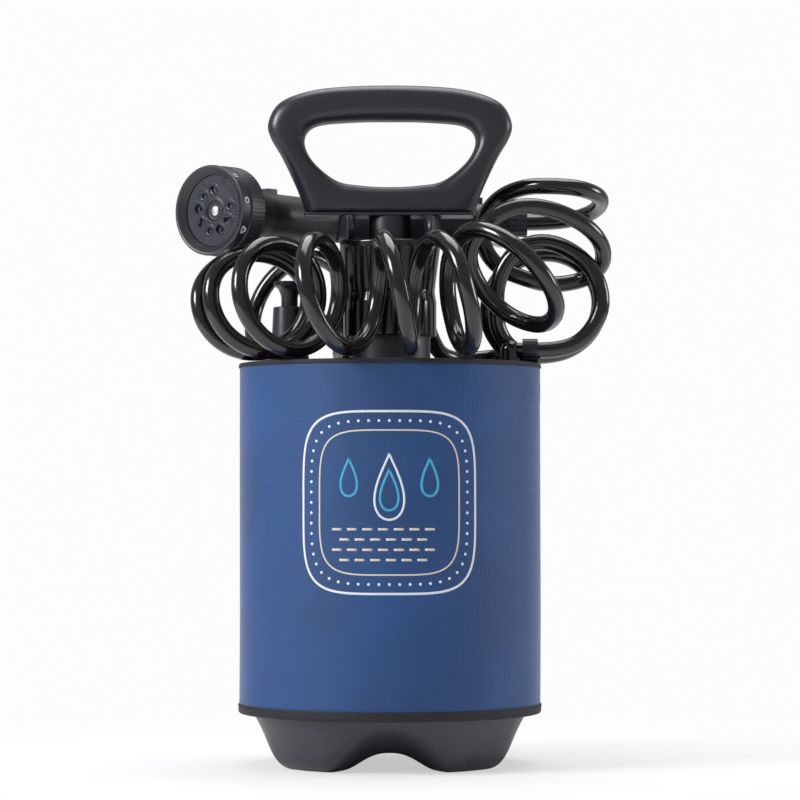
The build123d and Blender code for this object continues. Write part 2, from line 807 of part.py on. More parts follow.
with BuildPart() as nozzle_plate:
    with BuildSketch(barrel_plane(plate_recess)):
        Circle(plate_radius)
        Circle(screw_radius + dial_clearance, mode=Mode.SUBTRACT)
        with PolarLocations(port_circle, port_count):
            Circle(port_radius, mode=Mode.SUBTRACT)
        with PolarLocations(rose_circle, rose_count, start_angle=90, angular_range=200):
            Circle(rose_hole, mode=Mode.SUBTRACT)
    extrude(amount=plate_thickness)
    with BuildSketch(barrel_plane(plate_back)):
        with PolarLocations(port_circle, port_count):
            Circle(port_radius + 0.2)
    extrude(amount=-plate_thickness / 3)
nozzle_plate.part.label = "nozzle_plate"
export_step(nozzle_plate.part, "parts/nozzle_plate.step")

with BuildPart() as face_screw:
    with BuildSketch(barrel_plane(0.6)):
        Circle(screw_head)
    extrude(amount=plate_recess - 0.6 - dial_clearance / 2)
    with BuildSketch(barrel_plane(plate_recess - dial_clearance)):
        Circle(screw_radius)
    extrude(amount=hub_front + 6)
face_screw.part.label = "face_screw"
export_step(face_screw.part, "parts/face_screw.step")

stem_tip = barrel_length + bend_radius + stem_out
stem_head_back = stem_tip - stem_head_length
spring_seat = stem_head_back - stem_spring_length
pivot = bend + Vector(-lever_pin_left, lever_pin_back, 0)
hub_back = dial_depth + dial_clearance
grip_length = grip_end - bend.X
barrel_side = Plane(origin=face_centre, x_dir=barrel_way, z_dir=barrel_way.cross(Vector(0, 0, 1)))
with BuildPart() as gun_body:
    with BuildSketch(barrel_side):
        with BuildLine():
            Polyline(
                (hub_front, 0),
                (hub_front, hub_radius),
                (hub_back, hub_radius),
                (hub_back, barrel_root),
                (hub_back + barrel_taper, barrel_radius + 0.6),
                (barrel_length, bend_radius),
            )
            CenterArc((barrel_length, 0), bend_radius, 0, 90)
            Line((barrel_length + bend_radius, 0), (hub_front, 0))
        make_face()
    revolve(axis=Axis(face_centre, barrel_way))
    with BuildSketch(grip_plane(bend.X - 1)):
        Ellipse(grip_depth - 1.4, grip_height - 1.2)
    with BuildSketch(grip_plane(bend.X + 0.37 * grip_length)):
        Ellipse(grip_depth - 1.2, grip_height)
    with BuildSketch(grip_plane(bend.X + 0.7 * grip_length)):
        Ellipse(grip_depth, grip_height - 0.6)
    with BuildSketch(grip_plane(grip_end)):
        Ellipse(grip_end_depth, grip_end_height)
    loft()
    with BuildSketch(grip_plane(grip_end)):
        Circle(inlet_radius)
    extrude(amount=inlet_length + 5)
    with BuildSketch(Plane.XY.offset(gun_height - lug_height / 2)):
        with BuildLine():
            Polyline(
                (bend.X - 6, bend.Y),
                (pivot.X - lug_radius, pivot.Y),
                (pivot.X, pivot.Y + lug_radius),
                (bend.X + 4, bend.Y + 8),
                close=True,
            )
        make_face()
        with Locations((pivot.X, pivot.Y)):
            Circle(lug_radius)
    extrude(amount=lug_height)
    with BuildSketch(Plane.XY.offset(gun_height)):
        with Locations(barrel_plane(tab_place).origin - Vector(0, 0, gun_height)):
            Rectangle(tab_length, tab_width, rotation=barrel_turn)
    extrude(amount=barrel_radius + tab_out)
    with BuildSketch(Plane.XY.offset(gun_height)):
        with Locations((bail_x - bail_stop_gap, bend.Y)):
            Circle(bail_stop_radius)
    extrude(amount=grip_end_height + bail_stop_out)
    with BuildSketch(Plane.XY.offset(gun_height - bail_half - 1)):
        with Locations((bail_x, bend.Y)):
            Circle(bail_wire + 0.3)
    extrude(amount=2 * bail_half + 2, mode=Mode.SUBTRACT)
    with BuildSketch(Plane.XY.offset(gun_height - lug_height)):
        with Locations((pivot.X, pivot.Y)):
            Circle(lever_pin_radius + 0.05)
    extrude(amount=2 * lug_height, mode=Mode.SUBTRACT)
    with BuildSketch(barrel_plane(spring_seat)):
        Circle(stem_bore)
    extrude(amount=60, mode=Mode.SUBTRACT)
    with BuildSketch(barrel_plane(spring_seat - stem_guide)):
        Circle(stem_radius + rod_clearance)
    extrude(amount=stem_guide, mode=Mode.SUBTRACT)
    with BuildSketch(barrel_plane(hub_front)):
        Circle(screw_radius + 0.05)
    extrude(amount=12, mode=Mode.SUBTRACT)
gun_body.part.label = "gun_body"
export_step(gun_body.part, "parts/gun_body.step")

with BuildPart() as gun_stem:
    with BuildSketch(barrel_plane(spring_seat - stem_guide + 4)):
        Circle(stem_radius)
    extrude(amount=stem_head_back - spring_seat + stem_guide - 4)
    with BuildSketch(barrel_plane(stem_head_back)):
        Circle(stem_head)
    extrude(amount=stem_tip - stem_head_back)
    fillet(gun_stem.faces().sort_by(Axis((0, 0, 0), barrel_way))[-1].edges(), radius=2.0)
gun_stem.part.label = "gun_stem"
export_step(gun_stem.part, "parts/gun_stem.step")

stem_spring_rise = stem_spring_length - stem_travel - 2 * spring_wire - 0.1
stem_spring_start = spring_seat + stem_travel + spring_wire + 0.05
with BuildPart() as stem_spring_shape:
    with BuildLine() as stem_coil:
        Helix(pitch=stem_spring_rise / 6, height=stem_spring_rise, radius=stem_spring_radius)
    with BuildSketch(Plane(origin=stem_coil.line @ 0, z_dir=stem_coil.line % 0)):
        Circle(spring_wire)
    sweep()

with BuildPart() as stem_spring:
    add(barrel_plane(stem_spring_start).location * stem_spring_shape.part)
stem_spring.part.label = "stem_spring"
export_step(stem_spring.part, "parts/stem_spring.step")

# Rear lever: a curved plate behind the grip, with two ears on the pin
lever_half = lever_height / 2
ear_offset = lug_height / 2 + ear_gap
stem_point = face_centre + barrel_way * (stem_tip + 0.5)
with BuildPart() as gun_lever:
    with BuildLine() as lever_line:
        Spline(
            pivot + Vector(-1.5, 5.5),
            stem_point + Vector(2, 5.2),
            bend + Vector(lever_middle, lever_middle_back, 0),
            bend + Vector(lever_tip_right, lever_tip_back, 0),
        )
    with BuildSketch(Plane(origin=lever_line.line @ 0, x_dir=(0, 0, 1), z_dir=lever_line.line % 0)):
        RectangleRounded(lever_height, lever_thickness, 1.6)
    sweep()
    for ear_bottom in (-ear_offset - ear_height, ear_offset):
        with BuildSketch(Plane.XY.offset(gun_height + ear_bottom)):
            with BuildLine():
                Polyline(
                    (pivot.X - lug_radius, pivot.Y),
                    (pivot.X - 3.4, pivot.Y + 7),
                    (pivot.X + 12, pivot.Y + 6),
                    (pivot.X + 4, pivot.Y - 3),
                    close=True,
                )
            make_face()
            with Locations((pivot.X, pivot.Y)):
                Circle(lug_radius)
        extrude(amount=ear_height)
    with BuildSketch(Plane.XY.offset(gun_height - ear_offset)):
        with Locations((pivot.X, pivot.Y)):
            Circle(lug_radius + 0.8)
    extrude(amount=2 * ear_offset, mode=Mode.SUBTRACT)
    with BuildSketch(Plane.XY.offset(gun_height - lever_height)):
        with Locations((pivot.X, pivot.Y)):
            Circle(lever_pin_radius + 0.15)
    extrude(amount=2 * lever_height, mode=Mode.SUBTRACT)
gun_lever.part.label = "gun_lever"
export_step(gun_lever.part, "parts/gun_lever.step")

with BuildPart() as lever_pin:
    with BuildSketch(Plane.XY.offset(gun_height - lever_half - 0.6)):
        with Locations((pivot.X, pivot.Y)):
            Circle(lever_pin_radius)
    extrude(amount=lever_height + 1.2)
lever_pin.part.label = "lever_pin"
export_step(lever_pin.part, "parts/lever_pin.step")

# Wire bail: it hangs on the grip's end and swings over the squeezed lever's tip to hold it
bail_way = Vector(sin(radians(bail_lean)), cos(radians(bail_lean)), 0)
bail_root = Vector(bail_x, bend.Y, gun_height)
up = Vector(0, 0, 1)
with BuildPart() as lock_bail:
    with BuildLine() as bail_line:
        FilletPolyline(
            bail_root + up * (grip_end_height - 5),
            bail_root + up * bail_half,
            bail_root + bail_way * bail_reach + up * bail_half,
            bail_root + bail_way * bail_reach - up * bail_half,
            bail_root - up * bail_half,
            bail_root - up * (grip_end_height - 5),
            radius=[1.3, 4, 4, 1.3],
        )
    with BuildSketch(Plane(origin=bail_line.line @ 0, z_dir=bail_line.line % 0)):
        Circle(bail_wire)
    sweep()
lock_bail.part.label = "lock_bail"
export_step(lock_bail.part, "parts/lock_bail.step")

with BuildPart() as gun_nut:
    with BuildSketch(grip_plane(grip_end + inlet_length)):
        Circle(gun_nut_radius)
        with PolarLocations(gun_nut_radius + 0.4, 18):
            Circle(1.0, mode=Mode.SUBTRACT)
    extrude(amount=gun_nut_length)
    with BuildSketch(grip_plane(grip_end + inlet_length)):
        Circle(inlet_radius + 0.05)
    extrude(amount=5.1, mode=Mode.SUBTRACT)
gun_nut.part.label = "gun_nut"
export_step(gun_nut.part, "parts/gun_nut.step")

# Hose: the lead loop from the outlet, the coil wound once round the pump, and the loops up to the gun
lead_points = [
    (nut_end, outlet_y, outlet_height),
    (114, outlet_y, outlet_height),
    (131, -11, 283),
    (143, -9.5, 305),
    (135, -8, 331),
    (112, -6.5, 347),
    (91, -5, 347),
    (77, -3, 334),
    (71, 0, 312),
    (74, 4, 290),
    (86, 10, 272),
]
tail_points = [
    (37, -44, 312),
    (39, -50, 339),
    (53, -72, 353),
    (77, -92, 342),
    (100, -92, 319),
    (110, -71, 297),
    (100, -42, 288),
    (79, -22, 296),
    (59, -22, 315),
    (50, -32, 337),
    (62, -38, 358),
    (85, -36, 370),
    (112, -29, 366),
    (137, -16, 353),
    (145, 6, 336),
    (134, 29, 324),
    (107, 38, 321),
    (80, 36, 328),
    (63, 22, 343),
    (64, 2, 362),
    (80, -14, 379),
    (104, -19, 385),
    (128, -8, 382),
    (140, 18, 375),
    (135, 46, 369),
    (114, bend.Y, gun_height),
    (grip_end + inlet_length + gun_nut_length, bend.Y, gun_height),
]

with BuildPart() as hose_lead:
    with BuildLine() as lead_line:
        add(hose_route(lead_points))
    with BuildSketch(Plane(origin=lead_line.line @ 0, z_dir=lead_line.line % 0)):
        Circle(hose_radius)
    sweep()
hose_lead.part.label = "hose_lead"
export_step(hose_lead.part, "parts/hose_lead.step")

with BuildPart() as hose_tail:
    with BuildLine() as tail_line:
        add(hose_route(tail_points))
    with BuildSketch(Plane(origin=tail_line.line @ 0, z_dir=tail_line.line % 0)):
        Circle(hose_radius)
    sweep()
hose_tail.part.label = "hose_tail"
export_step(hose_tail.part, "parts/hose_tail.step")

# The coil is drawn as one fat tube of its outer diameter, open where the valve and the gun stand in it
coil_axis = Axis((coil_centre_x, 0, 0), (0, 0, 1))
section_plane = Plane(
    origin=(coil_centre_x, 0, coil_height),
    x_dir=(cos(radians(coil_start)), sin(radians(coil_start)), 0),
    z_dir=(sin(radians(coil_start)), -cos(radians(coil_start)), 0),
)
with BuildPart() as hose_coil:
    with BuildSketch(section_plane):
        with Locations((coil_radius, 0)):
            Circle(coil_outer)
            Circle(coil_outer - coil_wall, mode=Mode.SUBTRACT)
    revolve(axis=coil_axis, revolution_arc=coil_end - coil_start)
    with BuildSketch(valve_plane.offset(deck_height)):
        Circle(valve_flange_radius + 2)
    extrude(amount=2 * coil_outer - coil_wall - 5, mode=Mode.SUBTRACT)
    for shift in dial_way_out:
        with BuildSketch(barrel_plane(-8).move(Location((0, shift, shift)))):
            Circle(dial_radius + gun_pocket)
        extrude(amount=dial_depth + 10, mode=Mode.SUBTRACT)
    with BuildSketch(barrel_plane(dial_depth)):
        Circle(barrel_root + gun_pocket)
    extrude(amount=24, mode=Mode.SUBTRACT)
    with BuildSketch(barrel_plane(dial_depth)):
        Circle(barrel_radius + gun_pocket)
    extrude(amount=60, mode=Mode.SUBTRACT)
hose_coil.part.label = "hose_coil"
export_step(hose_coil.part, "parts/hose_coil.step")
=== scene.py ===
import logging
import math
from dataclasses import dataclass
from enum import Enum
from typing import Callable, Dict, List, Optional, Sequence, Tuple

import bmesh
import bpy
import numpy as np
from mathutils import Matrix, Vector


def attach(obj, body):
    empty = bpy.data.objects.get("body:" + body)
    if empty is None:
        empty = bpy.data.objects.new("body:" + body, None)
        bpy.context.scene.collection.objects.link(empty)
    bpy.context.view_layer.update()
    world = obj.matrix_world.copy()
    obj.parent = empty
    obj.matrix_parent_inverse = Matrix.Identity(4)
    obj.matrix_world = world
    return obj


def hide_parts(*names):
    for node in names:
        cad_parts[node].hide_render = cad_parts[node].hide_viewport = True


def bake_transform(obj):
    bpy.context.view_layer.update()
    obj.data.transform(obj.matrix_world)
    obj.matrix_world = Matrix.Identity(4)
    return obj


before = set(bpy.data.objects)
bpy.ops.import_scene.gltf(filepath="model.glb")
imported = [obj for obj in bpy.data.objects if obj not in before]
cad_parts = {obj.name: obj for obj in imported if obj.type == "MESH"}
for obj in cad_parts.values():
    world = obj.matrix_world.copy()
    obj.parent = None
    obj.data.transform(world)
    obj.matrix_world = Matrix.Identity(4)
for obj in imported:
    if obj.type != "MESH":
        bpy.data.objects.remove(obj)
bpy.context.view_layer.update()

# Looks of a portable pressure shower: a water tank in a woven sleeve, with a hand pump, a coil hose and a spray gun.
# Sizes are in metres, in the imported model's own frame: +X to the right, +Y to the back, +Z up from the floor.

LOG = logging.getLogger("shower")

Point = Tuple[float, float, float]
Colour = Tuple[float, float, float, float]
MM = 0.001
DECK = 266 * MM
TURN = 2 * math.pi
# A wave texture of scale 1 has its bands this far apart
BAND_PERIOD = 0.314


class Body(Enum):
    """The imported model's moving bodies."""

    TANK = "tank_unit"
    KNOB = "knob"
    PUMP = "pump"
    PISTON = "piston"
    HANDLE = "handle"
    GUN = "gun"
    DIAL = "dial"
    LEVER = "lever"
    STEM = "stem"
    BAIL = "bail"


# Colours and shader nodes


def linear(value: str) -> Colour:
    """Turn an sRGB hex value into linear red, green, blue and alpha."""
    srgb = np.array([int(value[place : place + 2], 16) for place in (1, 3, 5)]) / 255
    light = np.where(srgb <= 0.04045, srgb / 12.92, ((srgb + 0.055) / 1.055) ** 2.4)
    return (float(light[0]), float(light[1]), float(light[2]), 1.0)


def add_node(
    tree: bpy.types.NodeTree,
    kind: str,
    settings: Optional[Dict] = None,
    links: Optional[Dict] = None,
) -> bpy.types.Node:
    """Add one shader node.

    Args:
        tree: The material's or world's node tree.
        kind: The node's Blender type name.
        settings: Socket names or numbers, or the node's own property names, with their values.
        links: Socket names or numbers, with the output socket that feeds each.

    Returns:
        The new node.
    """
    node = tree.nodes.new(kind)
    for name, value in (settings or {}).items():
        if isinstance(name, int) or name in node.inputs:
            node.inputs[name].default_value = value
        else:
            setattr(node, name, value)
    for name, output in (links or {}).items():
        tree.links.new(output, node.inputs[name])
    return node


def new_material(name: str) -> Tuple[bpy.types.Material, bpy.types.NodeTree, bpy.types.Node]:
    """Start an empty node material.

    Args:
        name: The material's name.

    Returns:
        The material, its tree and its principled shader, already joined to the output.
    """
    material = bpy.data.materials.new(name)
    material.use_nodes = True
    tree = material.node_tree
    tree.nodes.clear()
    shader = add_node(tree, "ShaderNodeBsdfPrincipled")
    add_node(tree, "ShaderNodeOutputMaterial", links={"Surface": shader.outputs[0]})
    return material, tree, shader


@dataclass(frozen=True)
class Moulded:
    """Moulded plastic or rubber: one through-colour, the tool's fine grain, and a faint unevenness of gloss.

    Attributes:
        name: What the plastic is and how it was made.
        colour: Its sRGB hex value.
        roughness: Mean roughness of the skin.
        grain_mm: Size of the mould's spark grain.
        grain_depth_mm: Height of that grain.
        swell_mm: Size of the slow waves that a blow mould or thick wall leaves, which bend the highlights.
        swell_depth_mm: Height of those waves.
        coat: Weight of a polished skin over the base.
        ior: Index of refraction.
    """

    name: str
    colour: str
    roughness: float
    grain_mm: float = 0.9
    grain_depth_mm: float = 0.01
    swell_mm: float = 22.0
    swell_depth_mm: float = 0.02
    coat: float = 0.0
    ior: float = 1.5

    def material(self) -> bpy.types.Material:
        """Make the node material: two noises for bump, and one for gloss and tone."""
        material, tree, shader = new_material(self.name)
        place = add_node(tree, "ShaderNodeTexCoord").outputs["Object"]
        grain = add_node(
            tree,
            "ShaderNodeTexNoise",
            {"Scale": 1 / (self.grain_mm * MM), "Detail": 2.0},
            {"Vector": place},
        )
        swell = add_node(
            tree,
            "ShaderNodeTexNoise",
            {"Scale": 1 / (self.swell_mm * MM), "Detail": 1.0},
            {"Vector": place},
        )
        smear = add_node(tree, "ShaderNodeTexNoise", {"Scale": 1 / (9 * MM), "Detail": 4.0}, {"Vector": place})
        gloss = add_node(
            tree,
            "ShaderNodeMapRange",
            {"To Min": self.roughness * 0.85, "To Max": self.roughness * 1.2},
            {"Value": smear.outputs["Fac"]},
        )
        base = linear(self.colour)
        tone = add_node(
            tree,
            "ShaderNodeMix",
            {"data_type": "RGBA", 6: base, 7: tuple(min(1.0, part * 1.18) for part in base[:3]) + (1.0,)},
            {0: smear.outputs["Fac"]},
        )
        waves = add_node(
            tree,
            "ShaderNodeBump",
            {"Distance": self.swell_depth_mm * MM * 10, "Strength": 0.4},
            {"Height": swell.outputs["Fac"]},
        )
        skin = add_node(
            tree,
            "ShaderNodeBump",
            {"Distance": self.grain_depth_mm * MM * 10, "Strength": 0.5},
            {"Height": grain.outputs["Fac"], "Normal": waves.outputs["Normal"]},
        )
        tree.links.new(tone.outputs[2], shader.inputs["Base Color"])
        tree.links.new(gloss.outputs["Result"], shader.inputs["Roughness"])
        tree.links.new(skin.outputs["Normal"], shader.inputs["Normal"])
        shader.inputs["IOR"].default_value = self.ior
        shader.inputs["Coat Weight"].default_value = self.coat
        shader.inputs["Coat Roughness"].default_value = 0.08
        return material


@dataclass(frozen=True)
class Woven:
    """Plain-woven polyester: threads over and under each other, a soft sheen at grazing angles, small tone changes.

    The pattern follows the piece's UV map, which is in metres along the cloth. The real threads are about 0.4 mm
    apart, which is too fine to show in the render, so thread_mm is as coarse as it needs to be.
    """

    name: str
    colour: str
    shade: str
    thread_mm: float
    thread_depth_mm: float
    roughness: float
    sheen: float
    sheen_colour: str

    def material(self) -> bpy.types.Material:
        """Make the node material: warp and weft bands, multiplied for bump and tone."""
        material, tree, shader = new_material(self.name)
        place = add_node(tree, "ShaderNodeUVMap", {"uv_map": "cloth"}).outputs["UV"]
        bands = []
        for direction in ("X", "Y"):
            wave = add_node(
                tree,
                "ShaderNodeTexWave",
                {
                    "wave_type": "BANDS",
                    "bands_direction": direction,
                    "Scale": BAND_PERIOD / (self.thread_mm * MM),
                    "Distortion": 0.6,
                    "Detail": 1.0,
                    "Detail Scale": 2.0,
                },
                {"Vector": place},
            )
            bands.append(wave.outputs["Fac"])
        weave = add_node(tree, "ShaderNodeMath", {"operation": "MULTIPLY"}, {0: bands[0], 1: bands[1]})
        cloud = add_node(tree, "ShaderNodeTexNoise", {"Scale": 14.0, "Detail": 5.0}, {"Vector": place})
        slub = add_node(
            tree,
            "ShaderNodeMath",
            {"operation": "MULTIPLY_ADD", 1: 0.55},
            {0: weave.outputs[0], 2: cloud.outputs["Fac"]},
        )
        blend = add_node(
            tree,
            "ShaderNodeMapRange",
            {"From Min": 0.35, "From Max": 1.1},
            {"Value": slub.outputs[0]},
        )
        tone = add_node(
            tree,
            "ShaderNodeMix",
            {"data_type": "RGBA", 6: linear(self.shade), 7: linear(self.colour)},
            {0: blend.outputs["Result"]},
        )
        bump = add_node(
            tree,
            "ShaderNodeBump",
            {"Distance": self.thread_depth_mm * MM, "Strength": 0.6},
            {"Height": weave.outputs[0]},
        )
        tree.links.new(tone.outputs[2], shader.inputs["Base Color"])
        tree.links.new(bump.outputs["Normal"], shader.inputs["Normal"])
        shader.inputs["Roughness"].default_value = self.roughness
        shader.inputs["Sheen Weight"].default_value = self.sheen
        shader.inputs["Sheen Roughness"].default_value = 0.3
        shader.inputs["Sheen Tint"].default_value = linear(self.sheen_colour)
        return material


@dataclass(frozen=True)
class DrawnSteel:
    """Drawn stainless steel wire or a turned pin: fine scratches round it, bright and a little uneven."""

    name: str = "stainless steel, drawn"
    colour: str = "#C9C9CC"
    roughness: float = 0.28

    def material(self) -> bpy.types.Material:
        """Make the node material: a metal whose roughness and bump follow a fine noise."""
        material, tree, shader = new_material(self.name)
        place = add_node(tree, "ShaderNodeTexCoord").outputs["Object"]
        scratch = add_node(tree, "ShaderNodeTexNoise", {"Scale": 1 / (0.8 * MM), "Detail": 3.0}, {"Vector": place})
        gloss = add_node(
            tree,
            "ShaderNodeMapRange",
            {"To Min": self.roughness * 0.7, "To Max": self.roughness * 1.4},
            {"Value": scratch.outputs["Fac"]},
        )
        bump = add_node(
            tree, "ShaderNodeBump", {"Distance": 0.01 * MM, "Strength": 0.3}, {"Height": scratch.outputs["Fac"]}
        )
        shader.inputs["Base Color"].default_value = linear(self.colour)
        shader.inputs["Metallic"].default_value = 1.0
        tree.links.new(gloss.outputs["Result"], shader.inputs["Roughness"])
        tree.links.new(bump.outputs["Normal"], shader.inputs["Normal"])
        return material


@dataclass(frozen=True)
class Printed:
    """Screen-printed ink on cloth: a thin matt film that lets the weave show through."""

    name: str
    colour: str

    def material(self) -> bpy.types.Material:
        """Make the node material: a flat ink with the cloth's fine mottle."""
        material, tree, shader = new_material(self.name)
        place = add_node(tree, "ShaderNodeTexCoord").outputs["Object"]
        mottle = add_node(tree, "ShaderNodeTexNoise", {"Scale": 1 / (0.7 * MM), "Detail": 2.0}, {"Vector": place})
        ink = linear(self.colour)
        tone = add_node(
            tree,
            "ShaderNodeMix",
            {"data_type": "RGBA", 6: tuple(part * 0.8 for part in ink[:3]) + (1.0,), 7: ink},
            {0: mottle.outputs["Fac"]},
        )
        tree.links.new(tone.outputs[2], shader.inputs["Base Color"])
        shader.inputs["Roughness"].default_value = 0.65
        return material


# Blow-moulded black polyethylene: a soft satin skin with slow waves
TANK_SKIN = Moulded("black HDPE, blow-moulded", "#303038", 0.36, 1.2, 0.02, 26.0, 0.08, ior=1.54)
# Polished black ABS: sharp reflections
GLOSS_BLACK = Moulded("black ABS, polished", "#08080A", 0.14, 0.8, 0.002, 30.0, 0.03, coat=0.4, ior=1.53)
# Spark-eroded black ABS: an even satin grain
SATIN_BLACK = Moulded("black ABS, satin-moulded", "#202029", 0.33, 0.8, 0.012, 30.0, 0.03, ior=1.53)
GUN_BLACK = Moulded("black ABS, matt-moulded", "#24242C", 0.40, 0.7, 0.014, 18.0, 0.02, ior=1.53)
PLATE_GREY = Moulded("blue-grey ABS, satin-moulded", "#1F222C", 0.34, 0.6, 0.010, 12.0, 0.01, ior=1.53)
# Extruded polyurethane hose: a smooth wet-looking skin that keeps slow waves along it
HOSE_BLACK = Moulded("black polyurethane, extruded", "#0B0B0F", 0.17, 0.8, 0.003, 16.0, 0.05, coat=0.35, ior=1.5)
SEAL_BLACK = Moulded("black nitrile rubber, pressed", "#121212", 0.62, 0.5, 0.02, 8.0, 0.02, ior=1.52)
INNER_WHITE = Moulded("natural polypropylene, moulded", "#D8D8D2", 0.35, 0.9, 0.01, 20.0, 0.03, ior=1.49)
SLEEVE_BLUE = Woven("blue polyester, plain-woven", "#174C8A", "#113765", 1.3, 0.12, 0.62, 0.9, "#C4C6DC")
TAPE_BLACK = Woven("black polyester tape, woven", "#1C1C21", "#101014", 1.5, 0.2, 0.7, 0.25, "#8A8A96")
THREAD_BLACK = Moulded("black polyester thread, twisted", "#1D1D24", 0.6, 0.4, 0.03, 8.0, 0.02)
STEEL = DrawnSteel()
INK_WHITE = Printed("white screen ink", "#E6E8EE")
INK_CREAM = Printed("cream screen ink", "#DDD2BC")
INK_TEAL = Printed("teal screen ink", "#3BA6CE")
MARK_WHITE = Printed("white pad-printed ink", "#F0F1F5")

NODE_FINISHES = {
    TANK_SKIN: ("tank",),
    SATIN_BLACK: ("valve_body", "valve_knob", "outlet_nut", "carry_handle"),
    GLOSS_BLACK: ("outlet_elbow", "pump_head"),
    GUN_BLACK: ("gun_dial", "gun_body", "gun_lever", "gun_nut"),
    PLATE_GREY: ("nozzle_plate",),
    SEAL_BLACK: ("valve_washer", "outlet_washer", "neck_gasket", "foot_flap", "piston_seal", "valve_pad"),
    INNER_WHITE: (
        "valve_lock_nut",
        "outlet_lock_nut",
        "dip_tube",
        "dip_filter",
        "pump_cylinder",
        "rod_bush",
        "piston_cap",
        "piston_head",
        "pump_rod",
        "gun_stem",
    ),
    STEEL: ("valve_spring", "rod_pin", "face_screw", "stem_spring", "lever_pin", "lock_bail"),
}


class Finishes:
    """Makes each finish's material once and hands it out."""

    def __init__(self) -> None:
        """Start with no material made."""
        self._made: Dict[str, bpy.types.Material] = {}

    def get(self, finish: object) -> bpy.types.Material:
        """Return the finish's material, and make it at its first use."""
        if finish.name not in self._made:
            self._made[finish.name] = finish.material()
        return self._made[finish.name]

    def dress_nodes(self) -> None:
        """Give every CAD node its finish."""
        for finish, names in NODE_FINISHES.items():
            for name in names:
                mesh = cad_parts[name].data
                mesh.materials.clear()
                mesh.materials.append(self.get(finish))


FINISHES = Finishes()


# Meshes from numpy grids


def put_together(
    name: str,
    points: np.ndarray,
    faces: List[Sequence[int]],
    finish: object,
    uv: Optional[np.ndarray] = None,
    close: bool = True,
) -> bpy.types.Object:
    """Make a smooth-shaded mesh object at the origin.

    Args:
        name: The piece's name.
        points: Vertex places, n by 3.
        faces: Vertex numbers of each face.
        finish: The finish it wears.
        uv: Cloth coordinates of each vertex in metres, n by 2.
        close: Merge doubles and turn all the faces outwards.

    Returns:
        The new object.
    """
    mesh = bpy.data.meshes.new(name)
    mesh.from_pydata(points.reshape(-1, 3).tolist(), [], [list(face) for face in faces])
    if uv is not None:
        layer = mesh.uv_layers.new(name="cloth")
        corners = np.empty(len(mesh.loops), dtype=np.int32)
        mesh.loops.foreach_get("vertex_index", corners)
        layer.data.foreach_set("uv", uv.reshape(-1, 2)[corners].astype(np.float32).ravel())
    if close:
        shell = bmesh.new()
        shell.from_mesh(mesh)
        bmesh.ops.remove_doubles(shell, verts=shell.verts, dist=0.005 * MM)
        bmesh.ops.recalc_face_normals(shell, faces=shell.faces)
        shell.to_mesh(mesh)
        shell.free()
    mesh.polygons.foreach_set("use_smooth", np.ones(len(mesh.polygons), dtype=bool))
    mesh.materials.append(FINISHES.get(finish))
    piece = bpy.data.objects.new(name, mesh)
    bpy.context.scene.collection.objects.link(piece)
    return piece


def grid_faces(rows: int, columns: int, wrap_rows: bool, wrap_columns: bool, start: int = 0) -> List[List[int]]:
    """Quads between neighbours of a grid of vertices, row by row, joined round where it wraps."""
    row = np.arange(rows if wrap_rows else rows - 1)[:, None]
    column = np.arange(columns if wrap_columns else columns - 1)[None, :]
    next_row = (row + 1) % rows
    next_column = (column + 1) % columns
    quads = np.stack(
        [
            row * columns + column,
            row * columns + next_column,
            next_row * columns + next_column,
            next_row * columns + column,
        ],
        axis=-1,
    )
    return (quads.reshape(-1, 4) + start).tolist()


def tube_faces(rings: int, around: int, start: int = 0) -> List[List[int]]:
    """Faces of a tube of rings with a flat cap at each end."""
    faces = grid_faces(rings, around, False, True, start)
    faces.append(list(range(start, start + around)))
    faces.append(list(range(start + (rings - 1) * around, start + rings * around)))
    return faces


def rounded(points: Sequence[Tuple[float, float]], radii: Sequence[float], steps: int = 6) -> np.ndarray:
    """A profile of straight runs with each inner corner rounded by an arc of its own radius.

    Each arc touches both runs at radius / tan(half the corner's angle) from the corner.

    Args:
        points: Ends of the straight runs.
        radii: One radius for each inner corner.
        steps: Parts of each arc.

    Returns:
        The profile's points, n by 2.
    """
    corners = np.array(points, dtype=float)
    line = [corners[0]]
    for before, corner, after, radius in zip(corners, corners[1:], corners[2:], radii):
        back = (before - corner) / np.linalg.norm(before - corner)
        ahead = (after - corner) / np.linalg.norm(after - corner)
        half = math.acos(float(np.clip(back @ ahead, -1, 1))) / 2
        reach = radius / math.tan(half)
        middle = corner + (back + ahead) / np.linalg.norm(back + ahead) * radius / math.sin(half)
        first = corner + back * reach - middle
        last = corner + ahead * reach - middle
        share = np.linspace(0, 1, steps + 1)[:, None]
        span = math.pi - 2 * half
        arc = (np.sin((1 - share) * span) * first + np.sin(share * span) * last) / math.sin(span)
        line.extend(middle + arc)
    line.append(corners[-1])
    return np.array(line)


